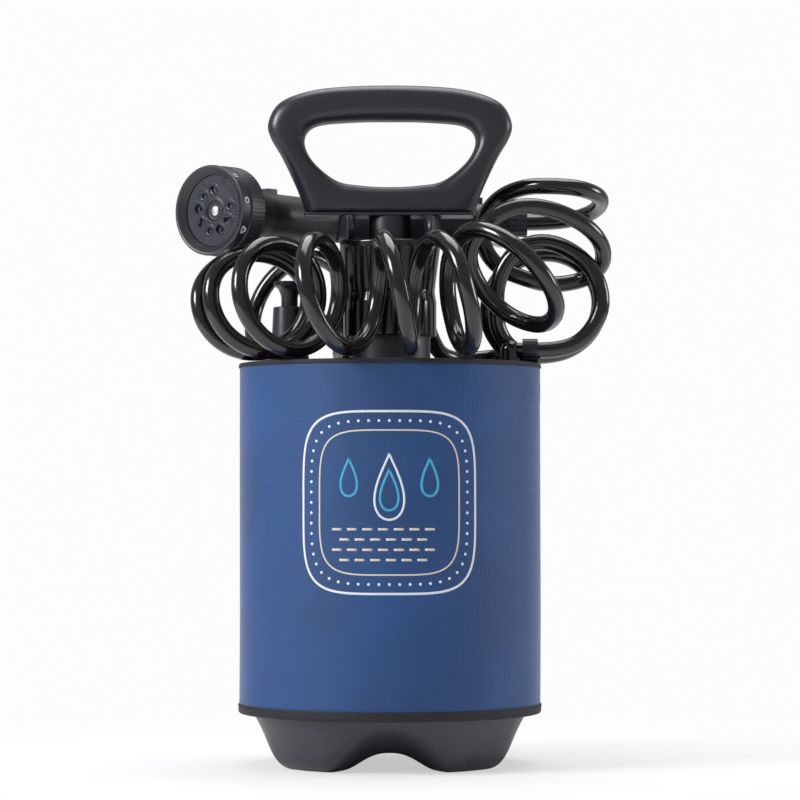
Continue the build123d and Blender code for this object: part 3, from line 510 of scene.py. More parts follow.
def turned(
    name: str,
    profile: np.ndarray,
    finish: object,
    origin: Point = (0, 0, 0),
    way: Point = (0, 0, 1),
    around: int = 128,
    ribs: int = 0,
    rib_depth: float = 0.0,
    rib_span: Tuple[float, float] = (0.0, 0.0),
    rib_share: float = 0.95,
    closed_profile: bool = False,
) -> bpy.types.Object:
    """A turned piece: the profile (radius, height) carried round an axis.

    point(angle, k) = origin + radius_k * (cos angle * side + sin angle * other) + height_k * way, and over
    rib_span the radius is cut back by rib_depth * (0.5 - 0.5 cos(ribs * angle)) squared, but only where it is more
    than rib_share of the largest radius.

    Args:
        name: The piece's name.
        profile: Radius and height of each point, n by 2.
        finish: The finish it wears.
        origin: Where the axis starts.
        way: The axis's direction.
        around: Steps round the axis.
        ribs: How many ribs, or 0.
        rib_depth: Depth of the grooves between them.
        rib_span: Heights between which they lie.
        rib_share: Share of the largest radius that they start at.
        closed_profile: Whether the profile joins its own start.

    Returns:
        The new piece.
    """
    axis = Vector(way).normalized()
    side = Vector((0, 0, 1)) if abs(axis.z) < 0.9 else Vector((1, 0, 0))
    side = (side - axis * side.dot(axis)).normalized()
    other = axis.cross(side)
    angle = np.linspace(0, TURN, around, endpoint=False)[:, None]
    radius = np.repeat(profile[None, :, 0], around, axis=0)
    height = np.repeat(profile[None, :, 1], around, axis=0)
    if ribs:
        edge = 0.6 * MM
        rise = np.clip((height - rib_span[0]) / edge, 0, 1) * np.clip((rib_span[1] - height) / edge, 0, 1)
        rise = rise * (radius > rib_share * radius.max())
        radius = radius - rib_depth * rise * (0.5 - 0.5 * np.cos(ribs * angle)) ** 2
    points = (
        np.array(origin)
        + (radius * np.cos(angle))[..., None] * np.array(side)
        + (radius * np.sin(angle))[..., None] * np.array(other)
        + height[..., None] * np.array(axis)
    )
    faces = grid_faces(around, profile.shape[0], True, closed_profile)
    return put_together(name, points, faces, finish)


def swept(
    name: str,
    path: np.ndarray,
    up: Point,
    half_width: np.ndarray,
    half_height: np.ndarray,
    finish: object,
    power: float = 2.0,
    around: int = 48,
) -> bpy.types.Object:
    """A bar along a flat path: a superellipse section in the plane of up and the path's normal.

    point(v, k) = path_k + half_width_k * c(cos v) * normal_k + half_height_k * c(sin v) * up,
    with c(t) = sign(t) * |t| ** (2 / power).

    Args:
        name: The piece's name.
        path: Centre points, n by 3.
        up: The direction of half_height.
        half_width: Half the section's width at each point.
        half_height: Half its height at each point.
        finish: The finish it wears.
        power: Squareness of the section.
        around: Steps round the section.

    Returns:
        The new piece, with a flat cap at each end.
    """
    tangent = np.gradient(path, axis=0)
    tangent /= np.linalg.norm(tangent, axis=1, keepdims=True)
    normal = np.cross(np.array(up, dtype=float), tangent)
    angle = np.linspace(0, TURN, around, endpoint=False)
    across = np.sign(np.cos(angle)) * np.abs(np.cos(angle)) ** (2 / power)
    along = np.sign(np.sin(angle)) * np.abs(np.sin(angle)) ** (2 / power)
    width = np.broadcast_to(half_width, path.shape[:1])
    height = np.broadcast_to(half_height, path.shape[:1])
    points = (
        path[:, None, :]
        + (width[:, None] * across[None, :])[..., None] * normal[:, None, :]
        + (height[:, None] * along[None, :])[..., None] * np.array(up, dtype=float)
    )
    return put_together(name, points, tube_faces(len(path), around), finish)


def smooth_line(points: Sequence[Sequence[float]], steps: int = 16, closed: bool = False) -> np.ndarray:
    """A Catmull-Rom line through the points: each span is a cubic whose end slopes run between the neighbours."""
    given = np.array(points, dtype=float)
    if closed:
        ring = np.concatenate([given[-1:], given, given[:2]])
    else:
        ring = np.concatenate([2 * given[:1] - given[1:2], given, 2 * given[-1:] - given[-2:-1]])
    share = np.linspace(0, 1, steps, endpoint=False)[None, :, None]
    p0, p1, p2, p3 = (ring[i : len(ring) - 3 + i][:, None, :] for i in range(4))
    line = 0.5 * (
        2 * p1
        + (p2 - p0) * share
        + (2 * p0 - 5 * p1 + 4 * p2 - p3) * share**2
        + (3 * p1 - p0 - 3 * p2 + p3) * share**3
    )
    line = line.reshape(-1, given.shape[1])
    return line if closed else np.concatenate([line, given[-1:]])


@dataclass
class PrintedLine:
    """One printed stroke: its path in flat print coordinates, its width, and whether it closes on itself."""

    path: np.ndarray
    width: float
    closed: bool = True


def printed(
    name: str,
    lines: List[PrintedLine],
    wrap: Callable[[np.ndarray, np.ndarray, np.ndarray], np.ndarray],
    film: float,
    finish: Printed,
) -> bpy.types.Object:
    """Strokes of ink on a curved surface, as one piece.

    Each stroke is its path widened to both sides, once under and once over the surface by the film's height.

    Args:
        name: The piece's name.
        lines: The strokes.
        wrap: Turns across, up and lift into places in space.
        film: Half the ink's thickness.
        finish: The ink.

    Returns:
        The new piece.
    """
    every, faces, count = [], [], 0
    for line in lines:
        path = line.path
        ahead = np.roll(path, -1, axis=0) - np.roll(path, 1, axis=0) if line.closed else np.gradient(path, axis=0)
        normal = np.stack([-ahead[:, 1], ahead[:, 0]], axis=1) / np.linalg.norm(ahead, axis=1, keepdims=True)
        sides = [path + side * line.width / 2 * normal for side in (-1, 1, 1, -1)]
        lifts = (-film, -film, film, film)
        rings = [wrap(side[:, 0], side[:, 1], np.full(len(path), lift)) for side, lift in zip(sides, lifts)]
        every.append(np.stack(rings, axis=1).reshape(-1, 3))
        steps = len(path)
        faces.extend(grid_faces(steps, 4, True, True, count) if line.closed else tube_faces(steps, 4, count))
        count += steps * 4
    return put_together(name, np.concatenate(every), faces, finish)


def settle(piece: bpy.types.Object, body: Body, slot: str, *nodes: str) -> bpy.types.Object:
    """Let a piece ride on its body and stand for its CAD nodes."""
    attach(piece, body.value)
    if nodes:
        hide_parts(*nodes)
    LOG.info("%s rides on %s", piece.name, body.value)
    return piece


# Studio


@dataclass
class Studio:
    """Pale floor, white surroundings, soft lamps, and the camera at the photograph's viewing angle."""

    eye: Point = (0.0067, -2.1, 0.180)
    target: Point = (0.0067, 0.0, 0.242)
    lens_mm: float = 141.8
    floor_half: float = 4.0
    surround: float = 0.36

    def build(self) -> None:
        """Make the camera, the lamps, the world and the floor."""
        self._camera()
        self._lamp("lamp_left", (-1.55, -0.85, 1.2), (0, 0, 0.25), 0.7, 34)
        self._lamp("lamp_right", (1.8, 0.15, 0.7), (0, 0, 0.25), 0.6, 9)
        self._lamp("lamp_top", (0.1, 0.3, 1.6), (0, 0, 0.2), 1.1, 15)
        self._world()
        self._floor()

    def _camera(self) -> None:
        """Put the camera at its eye point and turn it to its target."""
        camera = bpy.data.objects.new("camera", bpy.data.cameras.new("camera"))
        bpy.context.scene.collection.objects.link(camera)
        camera.location = self.eye
        camera.rotation_euler = (Vector(self.target) - Vector(self.eye)).to_track_quat("-Z", "Y").to_euler()
        camera.data.lens = self.lens_mm
        camera.data.sensor_width = 36.0
        bpy.context.scene.camera = camera

    def _lamp(self, name: str, place: Point, target: Point, size: float, power: float) -> None:
        """Make one square soft lamp that faces its target."""
        data = bpy.data.lights.new(name, "AREA")
        data.shape = "SQUARE"
        data.size = size
        data.energy = power
        lamp = bpy.data.objects.new(name, data)
        bpy.context.scene.collection.objects.link(lamp)
        lamp.location = place
        lamp.rotation_euler = (Vector(target) - Vector(place)).to_track_quat("-Z", "Y").to_euler()

    def _clear_view(self, tree: bpy.types.NodeTree) -> bpy.types.NodeSocket:
        """One where a ray comes from the camera or through glass, and zero elsewhere."""
        ray = add_node(tree, "ShaderNodeLightPath")
        first = add_node(
            tree,
            "ShaderNodeMath",
            {"operation": "MAXIMUM"},
            {0: ray.outputs["Is Camera Ray"], 1: ray.outputs["Is Transmission Ray"]},
        )
        return first.outputs[0]

    def _world(self) -> None:
        """White seen directly, and a plain level of light on the object."""
        world = bpy.data.worlds.new("surroundings")
        world.use_nodes = True
        bpy.context.scene.world = world
        tree = world.node_tree
        tree.nodes.clear()
        soft = add_node(tree, "ShaderNodeBackground", {"Color": (1, 1, 1, 1), "Strength": self.surround})
        seen = add_node(tree, "ShaderNodeBackground", {"Color": linear("#FCFCFC"), "Strength": 1.0})
        mix = add_node(
            tree,
            "ShaderNodeMixShader",
            links={0: self._clear_view(tree), 1: soft.outputs[0], 2: seen.outputs[0]},
        )
        add_node(tree, "ShaderNodeOutputWorld", links={"Surface": mix.outputs[0]})

    def _floor(self) -> None:
        """A pale matt floor that takes the object's soft shadow."""
        half = self.floor_half
        points = np.array([(-half, -half, 0), (half, -half, 0), (half, half, 0), (-half, half, 0)], dtype=float)
        floor = put_together("floor", points, [[0, 1, 2, 3]], PaleFloor(), close=False)


@dataclass(frozen=True)
class PaleFloor:
    """Matt white paper: diffuse, lifted towards white where it is seen directly, so that only the shadow shows."""

    name: str = "white paper floor"
    colour: str = "#F4F4F5"
    lift: float = 0.55
    shadow_reach: float = 0.13
    shadow_end: float = 0.42

    def material(self) -> bpy.types.Material:
        """Make the node material."""
        material, tree, shader = new_material(self.name)
        shader.inputs["Base Color"].default_value = linear(self.colour)
        shader.inputs["Roughness"].default_value = 0.9
        glow = add_node(tree, "ShaderNodeEmission", {"Color": linear("#FCFCFC"), "Strength": 1.0})
        ray = add_node(tree, "ShaderNodeLightPath")
        place = add_node(tree, "ShaderNodeTexCoord").outputs["Object"]
        away = add_node(tree, "ShaderNodeVectorMath", {"operation": "LENGTH"}, {0: place})
        fade = add_node(
            tree,
            "ShaderNodeMapRange",
            {"interpolation_type": "SMOOTHSTEP", "From Min": self.shadow_reach, "From Max": self.shadow_end,
             "To Min": self.lift},
            {"Value": away.outputs["Value"]},
        )
        share = add_node(
            tree,
            "ShaderNodeMath",
            {"operation": "MULTIPLY"},
            {0: ray.outputs["Is Camera Ray"], 1: fade.outputs["Result"]},
        )
        mix = add_node(
            tree, "ShaderNodeMixShader", links={0: share.outputs[0], 1: shader.outputs[0], 2: glow.outputs[0]}
        )
        output = next(node for node in tree.nodes if node.type == "OUTPUT_MATERIAL")
        tree.links.new(mix.outputs[0], output.inputs["Surface"])
        return material


# Hose


@dataclass
class CoilHose:
    """The hose: a loop from the outlet, a coil round the pump, and loops up to the gun, on one smooth line.

    A coil point is given by its angle round the pump and its angle round the coil's own ring:
    distance = coil_radius + ring * cos(ring angle), height = coil_height + ring * sin(ring angle).
    """

    radius: float = 5.5 * MM
    length: float = 3.32
    centre_x: float = 5 * MM
    coil_radius: float = 97 * MM
    coil_height: float = 308.4 * MM
    ring: float = 36.5 * MM
    ring_top: float = 35.0 * MM
    step_deg: float = 25.0
    gun_nodes: Tuple[str, ...] = ("gun_nut",)
    lead: Tuple[Point, ...] = (
        (98, -12, 274.5),
        (114, -12, 274.5),
        (131, -11, 283),
        (143, -9.5, 305),
        (135, -8, 331),
        (112, -6.5, 347),
        (91, -5, 347),
        (77, -3, 334),
        (71, -1, 318),
        (71, 1, 304),
        (71.5, 3.5, 290.5),
        (78.3, 6, 278.8),
        (90, 9.5, 271.9),
    )
    tail: Tuple[Point, ...] = (
        (37, -44, 312),
        (39, -50, 339),
        (53, -72, 353),
        (77, -92, 342),
        (100, -92, 319),
        (110, -71, 297),
        (100, -42, 288),
        (79, -22, 296),
        (59, -22, 315),
        (50, -32, 337),
        (62, -38, 358),
        (85, -36, 370),
        (112, -29, 366),
        (137, -16, 353),
        (145, 6, 336),
        (134, 24, 324),
        (109, 28, 320),
        (91, 23, 324.5),
        (73, 19.5, 331),
        (62, 21, 346.5),
        (62, 25, 365),
        (73, 24, 380),
        (90, 13, 386),
        (108, 3.5, 385.5),
        (126, 5.5, 384.5),
        (140.8, 17.7, 381),
        (144, 37.5, 376),
        (135.4, 55.6, 370),
        (114, 63.74, 366),
        (94, 63.74, 366),
    )
    # Ring angle, and the angle round the pump, after the turn-back at the back of the tank
    turns: Tuple[Tuple[float, float], ...] = (
        (605, 68),
        (540, 73),
        (360, 82),
        (180, 94),
        (0, 106),
        (-180, 119.5),
        (-360, 138),
        (-450, 149),
        (-540, 160),
        (-630, 178),
        (-720, 187),
        (-900, 196),
        (-1080, 204),
        (-1260, 212),
        (-1440, 220.5),
        (-1620, 231.5),
        (-1800, 244.5),
        (-1980, 258),
        (-2160, 270.8),
        (-2340, 279.5),
        (-2520, 289),
        (-2675, 304),
    )

    def coil_points(self) -> np.ndarray:
        """Control points of the coil: one ring one way, a flat turn-back on the deck, then rings the other way."""
        first = np.arange(self.step_deg, 350, self.step_deg)
        share = np.linspace(0, 1, 7)
        given = np.array(self.turns)
        rest = np.arange(given[0, 0] - self.step_deg, given[-1, 0], -self.step_deg)
        ring_angle = np.concatenate([245 + first, 605 + 48 * np.sin(math.pi * share), rest])
        pump_angle = np.concatenate(
            [
                7 + 24 * first / 360,
                49.5 - 19 * np.cos(math.pi * share) * (1 - 0.22 * np.sin(math.pi * share)),
                np.interp(-rest, -given[:, 0], given[:, 1]),
            ]
        )
        swing = self.coil_radius + 12 * MM * np.exp(-(((pump_angle - 20) / 10) ** 2))
        top = self.ring_top - 9 * MM * np.exp(-(((pump_angle - 192) / 12) ** 2))
        psi = np.radians(ring_angle)
        alpha = np.radians(pump_angle)
        distance = swing + self.ring * np.cos(psi)
        lift = np.where(np.sin(psi) > 0, top, self.ring) * np.sin(psi)
        return np.stack(
            [self.centre_x + distance * np.cos(alpha), distance * np.sin(alpha), self.coil_height + lift], axis=1
        )

    def build(self) -> bpy.types.Object:
        control = np.concatenate([np.array(self.lead) * MM, self.coil_points(), np.array(self.tail) * MM])
        data = bpy.data.curves.new("hose_line", "CURVE")
        data.dimensions = "3D"
        data.resolution_u = 6
        spline = data.splines.new("NURBS")
        spline.points.add(len(control) - 1)
        spline.points.foreach_set("co", np.column_stack([control, np.ones(len(control))]).ravel())
        spline.order_u = 3
        spline.use_endpoint_u = True
        line = bpy.data.objects.new("hose_line", data)
        bpy.context.scene.collection.objects.link(line)
        bare = bpy.data.meshes.new_from_object(line)
        path = np.empty(len(bare.vertices) * 3)
        bare.vertices.foreach_get("co", path)
        path = path.reshape(-1, 3)
        LOG.info("hose length %.3f m", np.linalg.norm(np.diff(path, axis=0), axis=1).sum())
        data.bevel_depth = self.radius
        data.bevel_resolution = 5
        data.use_fill_caps = True
        bpy.context.view_layer.update()
        tube = bpy.data.meshes.new_from_object(line.evaluated_get(bpy.context.evaluated_depsgraph_get()))
        bpy.data.objects.remove(line)
        tube.name = "coil_hose"
        tube.materials.clear()
        tube.materials.append(FINISHES.get(HOSE_BLACK))
        tube.polygons.foreach_set("use_smooth", np.ones(len(tube.polygons), dtype=bool))
        piece = bpy.data.objects.new("coil_hose", tube)
        bpy.context.scene.collection.objects.link(piece)
        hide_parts("hose_lead", "hose_coil", "hose_tail")
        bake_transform(piece)
        [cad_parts[name] for name in self.gun_nodes]
        LOG.info("coil_hose bends from %s to %s", Body.TANK.value, Body.GUN.value)
        return piece


# Sleeve


@dataclass
class Sleeve:
    """The fabric sleeve: a sewn tube of woven cloth, bound at both ends with stitched tape, and its print."""

    radius: float = 100 * MM
    inner: float = 95 * MM
    bottom: float = 41.5 * MM
    top: float = 262.5 * MM
    wall: float = 1.6 * MM
    around: int = 360
    rows: int = 111
    lower_edge: float = 34.5 * MM
    tape_proud: float = 0.6 * MM
    print_height: float = 174 * MM
    print_half: float = 58 * MM

    def _bulge(self, angle: np.ndarray, height: np.ndarray) -> np.ndarray:
        """How far the cloth stands off its cylinder: slow vertical waves, and a fold near the top on the right."""
        slow = 0.25 * MM * np.sin(3 * angle + 0.7) + 0.15 * MM * np.sin(7 * angle + 20 * height)
        up = (height - self.bottom) / (self.top - self.bottom)
        edges = np.clip(4 * np.minimum(up, 1 - up), 0, 1)
        fold = 1.5 * MM * np.exp(-(((angle - 5.9) / 0.22) ** 2)) * np.exp(-(((height - 0.247) / 0.007) ** 2))
        crease = -0.5 * MM * np.exp(-(((angle - 5.95) / 0.3) ** 2)) * np.exp(-(((height - 0.236) / 0.004) ** 2))
        return slow * edges + fold + crease

    def build(self) -> None:
        """Make the cloth, the tapes, the stitches and the print."""
        self._cloth()
        self._tape("lower_tape", self.lower_edge, self.bottom, "sleeve_lower_hem")
        self._tape("upper_tape", self.top, DECK, "sleeve_upper_hem")
        self._stitches("lower_stitches", self.bottom - 1.6 * MM)
        self._stitches("upper_stitches", self.top + 0.9 * MM)
        SleevePrint(self).build()

    def _cloth(self) -> None:
        """The cloth: point(angle, height) on a cylinder of radius plus bulge, with its wall inside."""
        angle = np.linspace(0, TURN, self.around, endpoint=False)[None, :]
        height = np.linspace(self.bottom - 1.2 * MM, self.top + 1.2 * MM, self.rows)[:, None]
        reach = self.radius + self._bulge(angle, height)
        shells = []
        for radius in (reach, reach - self.wall):
            shells.append(
                np.stack(
                    [radius * np.cos(angle), radius * np.sin(angle), np.broadcast_to(height, radius.shape)], axis=-1
                )
            )
        rows, around = self.rows, self.around
        count = rows * around
        outer = grid_faces(rows, around, False, True)
        inner = grid_faces(rows, around, False, True, count)
        ends = []
        for row in (0, rows - 1):
            here = np.arange(around) + row * around
            there = (np.arange(around) + 1) % around + row * around
            ends.extend(np.stack([here, there, there + count, here + count], axis=1).tolist())
        uv = np.stack(
            [
                np.broadcast_to(np.minimum(angle, TURN - angle) * self.radius, reach.shape),
                np.broadcast_to(height, reach.shape),
            ],
            axis=-1,
        )
        piece = put_together(
            "sleeve_cloth",
            np.concatenate([shells[0].reshape(-1, 3), shells[1].reshape(-1, 3)]),
            outer + inner + ends,
            SLEEVE_BLUE,
            np.concatenate([uv.reshape(-1, 2), uv.reshape(-1, 2)]),
        )
        settle(piece, Body.TANK, "sleeve_blue", "sleeve_panel")

    def _tape(self, name: str, low: float, high: float, node: str) -> None:
        """One binding tape: a flat ring with rounded edges, its section a superellipse carried round the axis."""
        around, section = 360, 24
        angle = np.linspace(0, TURN, around, endpoint=False)[:, None]
        turn = np.linspace(0, TURN, section, endpoint=False)[None, :]
        outer = self.radius + self.tape_proud
        middle, half = (outer + self.inner) / 2, (outer - self.inner) / 2
        across = np.sign(np.cos(turn)) * np.abs(np.cos(turn)) ** 0.5
        along = np.sign(np.sin(turn)) * np.abs(np.sin(turn)) ** 0.5
        ripple = 1 + 0.012 * np.sin(260 * angle)
        radius = middle + half * across * ripple
        height = (low + high) / 2 + (high - low) / 2 * along + 0 * angle
        points = np.stack([radius * np.cos(angle), radius * np.sin(angle), height], axis=-1)
        uv = np.stack(
            [np.broadcast_to(np.minimum(angle, TURN - angle) * outer, radius.shape), height], axis=-1
        )
        piece = put_together(name, points, grid_faces(around, section, True, True), TAPE_BLACK, uv)
        settle(piece, Body.TANK, "binding_black", node)

    def _stitches(self, name: str, height: float) -> None:
        """A row of stitches round the tape: short capsules, each a superellipse bar along the circle."""
        count, rings, section = 190, 6, 8
        start = np.linspace(0, TURN, count, endpoint=False)[:, None, None]
        share = np.linspace(-1, 1, rings)[None, :, None]
        turn = np.linspace(0, TURN, section, endpoint=False)[None, None, :]
        thick = 0.28 * MM * np.sqrt(np.clip(1 - share**4, 0.02, 1))
        angle = start + share * 0.0115
        radius = self.radius + self.tape_proud + 0.05 * MM + thick * np.cos(turn)
        points = np.stack(
            [radius * np.cos(angle), radius * np.sin(angle), height + thick * np.sin(turn) + 0 * angle], axis=-1
        )
        faces: List[List[int]] = []
        for stitch in range(count):
            faces.extend(tube_faces(rings, section, stitch * rings * section))
        settle(put_together(name, points, faces, THREAD_BLACK), Body.TANK, "binding_black")


@dataclass
class SleevePrint:
    """A generic print on the front: two rounded frames with dots between, drops, and staggered bars."""

    sleeve: Sleeve
    film: float = 0.12 * MM

    def _wrap(self, across: np.ndarray, up: np.ndarray, lift: np.ndarray) -> np.ndarray:
        """Put flat print coordinates on the cloth: across is arc length from the front, lift is off the cloth."""
        height = self.sleeve.print_height + up
        angle = 1.5 * math.pi + across / self.sleeve.radius
        radius = self.sleeve.radius + self.sleeve._bulge(angle % TURN, height) + lift
        return np.stack([radius * np.cos(angle), radius * np.sin(angle), height], axis=-1)

    def _ink(self, name: str, lines: List[PrintedLine], finish: Printed) -> None:
        """Put several lines of one ink into one piece."""
        settle(printed(name, lines, self._wrap, self.film, finish), Body.TANK, "sleeve_blue")

    def _frame(self, half: float, power: float = 4.5, samples: int = 200) -> np.ndarray:
        """A rounded square: a superellipse, with its samples at equal steps along its length."""
        turn = np.linspace(0, TURN, 6001)
        reach = (np.abs(np.cos(turn)) ** power + np.abs(np.sin(turn)) ** power) ** (-1 / power)
        line = half * reach[:, None] * np.stack([np.cos(turn), np.sin(turn)], axis=1)
        walked = np.concatenate([[0], np.cumsum(np.linalg.norm(np.diff(line, axis=0), axis=1))])
        stops = np.linspace(0, walked[-1], samples, endpoint=False)
        return np.stack([np.interp(stops, walked, line[:, side]) for side in (0, 1)], axis=1)

    def _drop(self, x: float, z: float, size: float) -> np.ndarray:
        """A water drop: a circle drawn out to a point at its top."""
        turn = np.linspace(0, TURN, 60, endpoint=False)
        across = 0.62 * size * np.sin(turn) * np.sin(turn / 2) ** 1.3
        up = size * np.cos(turn)
        return np.stack([x + across, z + up], axis=1)

    def build(self) -> None:
        """Make the three inks."""
        half = self.sleeve.print_half
        dots = self._frame(half - 6 * MM, samples=56)
        small = np.linspace(0, TURN, 10, endpoint=False)
        white = [PrintedLine(self._frame(half), 1.5 * MM), PrintedLine(self._drop(0, 10 * MM, 21 * MM), 1.4 * MM)]
        cream = [PrintedLine(self._frame(half - 12 * MM), 1.0 * MM)]
        ring = 0.5 * MM * np.stack([np.cos(small), np.sin(small)], axis=1)
        white.extend(PrintedLine(dot + ring, 0.9 * MM) for dot in dots)
        for row in range(4):
            width = 34 - 5 * (row % 2)
            for place in np.arange(-width, width + 1, 10):
                run = np.linspace(-3.2 * MM, 3.2 * MM, 4)
                z = (-17 - 6.5 * row) * MM
                cream.append(PrintedLine(np.stack([place * MM + run, np.full(4, z)], axis=1), 1.5 * MM, False))
        teal = [
            PrintedLine(self._drop(0, 8 * MM, 13 * MM), 1.6 * MM),
            PrintedLine(self._drop(-26 * MM, 16 * MM, 12 * MM), 1.6 * MM),
            PrintedLine(self._drop(26 * MM, 16 * MM, 12 * MM), 1.6 * MM),
        ]
        self._ink("print_white", white, INK_WHITE)
        self._ink("print_cream", cream, INK_CREAM)
        self._ink("print_teal", teal, INK_TEAL)


# Tank


@dataclass
class TankShell:
    """The blow-moulded tank: neck, deck, side, and four feet parted by soft arches that open to the outside."""

    outline_mm: Tuple[Tuple[float, float], ...] = (
        (0, 0),
        (83, 0),
        (94.7, 36),
        (94.7, 266),
        (27, 266),
        (27, 300),
        (22, 300),
        (22, 263.5),
        (92.2, 263.5),
        (92.2, 36),
        (80.5, 2.5),
        (0, 2.5),
    )
    corners_mm: Tuple[float, ...] = (14, 30, 5, 1.5, 0.6, 0.6, 0.6, 3, 28, 11.5)
    step_mm: float = 2.0
    around: int = 360
    blend_top: float = 41.0
    roof: Tuple[float, float] = (10.8, 28.0)
    half_width: Tuple[float, float] = (30.0, 50.0)
    opening: Tuple[float, float] = (42.0, 92.0)

    def _arches(self, x: np.ndarray, y: np.ndarray) -> np.ndarray:
        """Height of the underside over the floor, in millimetres.

        Each arch is roof(a) * (1 - (u / w(a)) ** 2.4) squared, where a is the distance outwards and u is across, and
        roof and w grow smoothly to the outside. Two crossing arches join as the fourth root of their fourth powers.
        """
        both = 0.0
        for out, across in ((np.abs(x), np.abs(y)), (np.abs(y), np.abs(x))):
            share = np.clip((out - self.opening[0]) / (self.opening[1] - self.opening[0]), 0, 1)
            share = share * share * (3 - 2 * share)
            roof = self.roof[0] + (self.roof[1] - self.roof[0]) * share
            width = self.half_width[0] + (self.half_width[1] - self.half_width[0]) * share
            both = both + (roof * (1 - np.clip(across / width, 0, 1) ** 2.4) ** 2) ** 4
        return both**0.25

    def build(self) -> None:
        """point(angle, k) on the turned outline, its lower part pressed up between the arches and blend_top."""
        line = rounded(self.outline_mm, self.corners_mm, 8)
        walked = np.concatenate([[0], np.cumsum(np.linalg.norm(np.diff(line, axis=0), axis=1))])
        stops = np.unique(np.concatenate([walked, np.arange(0, walked[-1], self.step_mm)]))
        radius, height = (np.interp(stops, walked, line[:, side]) for side in (0, 1))
        keep = (height < self.blend_top + 2) | np.isin(stops, walked)
        radius, height = radius[keep][:, None], height[keep][:, None]
        angle = np.linspace(0, TURN, self.around, endpoint=False)[None, :]
        x, y = radius * np.cos(angle), radius * np.sin(angle)
        arch = self._arches(x, y)
        height = np.where(height < self.blend_top, arch + height * (1 - arch / self.blend_top), height + 0 * arch)
        points = np.stack([x, y, height], axis=-1) * MM
        faces = grid_faces(len(radius), self.around, True, True)
        settle(put_together("tank_shell", points, faces, TANK_SKIN), Body.TANK, "tank_black", "tank")


# Pump head and handle


@dataclass
class PumpHead:
    """The glossy screw cap over the neck: skirt, waist, flared rim, and the bowl that the handle's boss stands in."""

    profile_mm: Tuple[Tuple[float, float], ...] = (
        (27.4, 294),
        (27.4, 284),
        (31, 284),
        (31, 307),
        (29.8, 314),
        (33.5, 343),
        (33.5, 347.3),
        (29.5, 347.3),
        (29.5, 336.3),
        (14.4, 336.3),
        (14.4, 324),
        (9.05, 324),
        (9.05, 304.2),
        (27.4, 304.2),
        (27.4, 295),
    )
    corners_mm: Tuple[float, ...] = (0.3, 0.9, 3.0, 12.0, 1.2, 1.3, 0.9, 1.5, 0.6, 0.6, 0.4, 0.2, 0.3)

    def build(self) -> None:
        """Turn the cap."""
        profile = rounded(self.profile_mm, self.corners_mm) * MM
        cap = turned("pump_cap", profile, GLOSS_BLACK, around=192, closed_profile=True)
        settle(cap, Body.PUMP, "gloss_black", "pump_head")


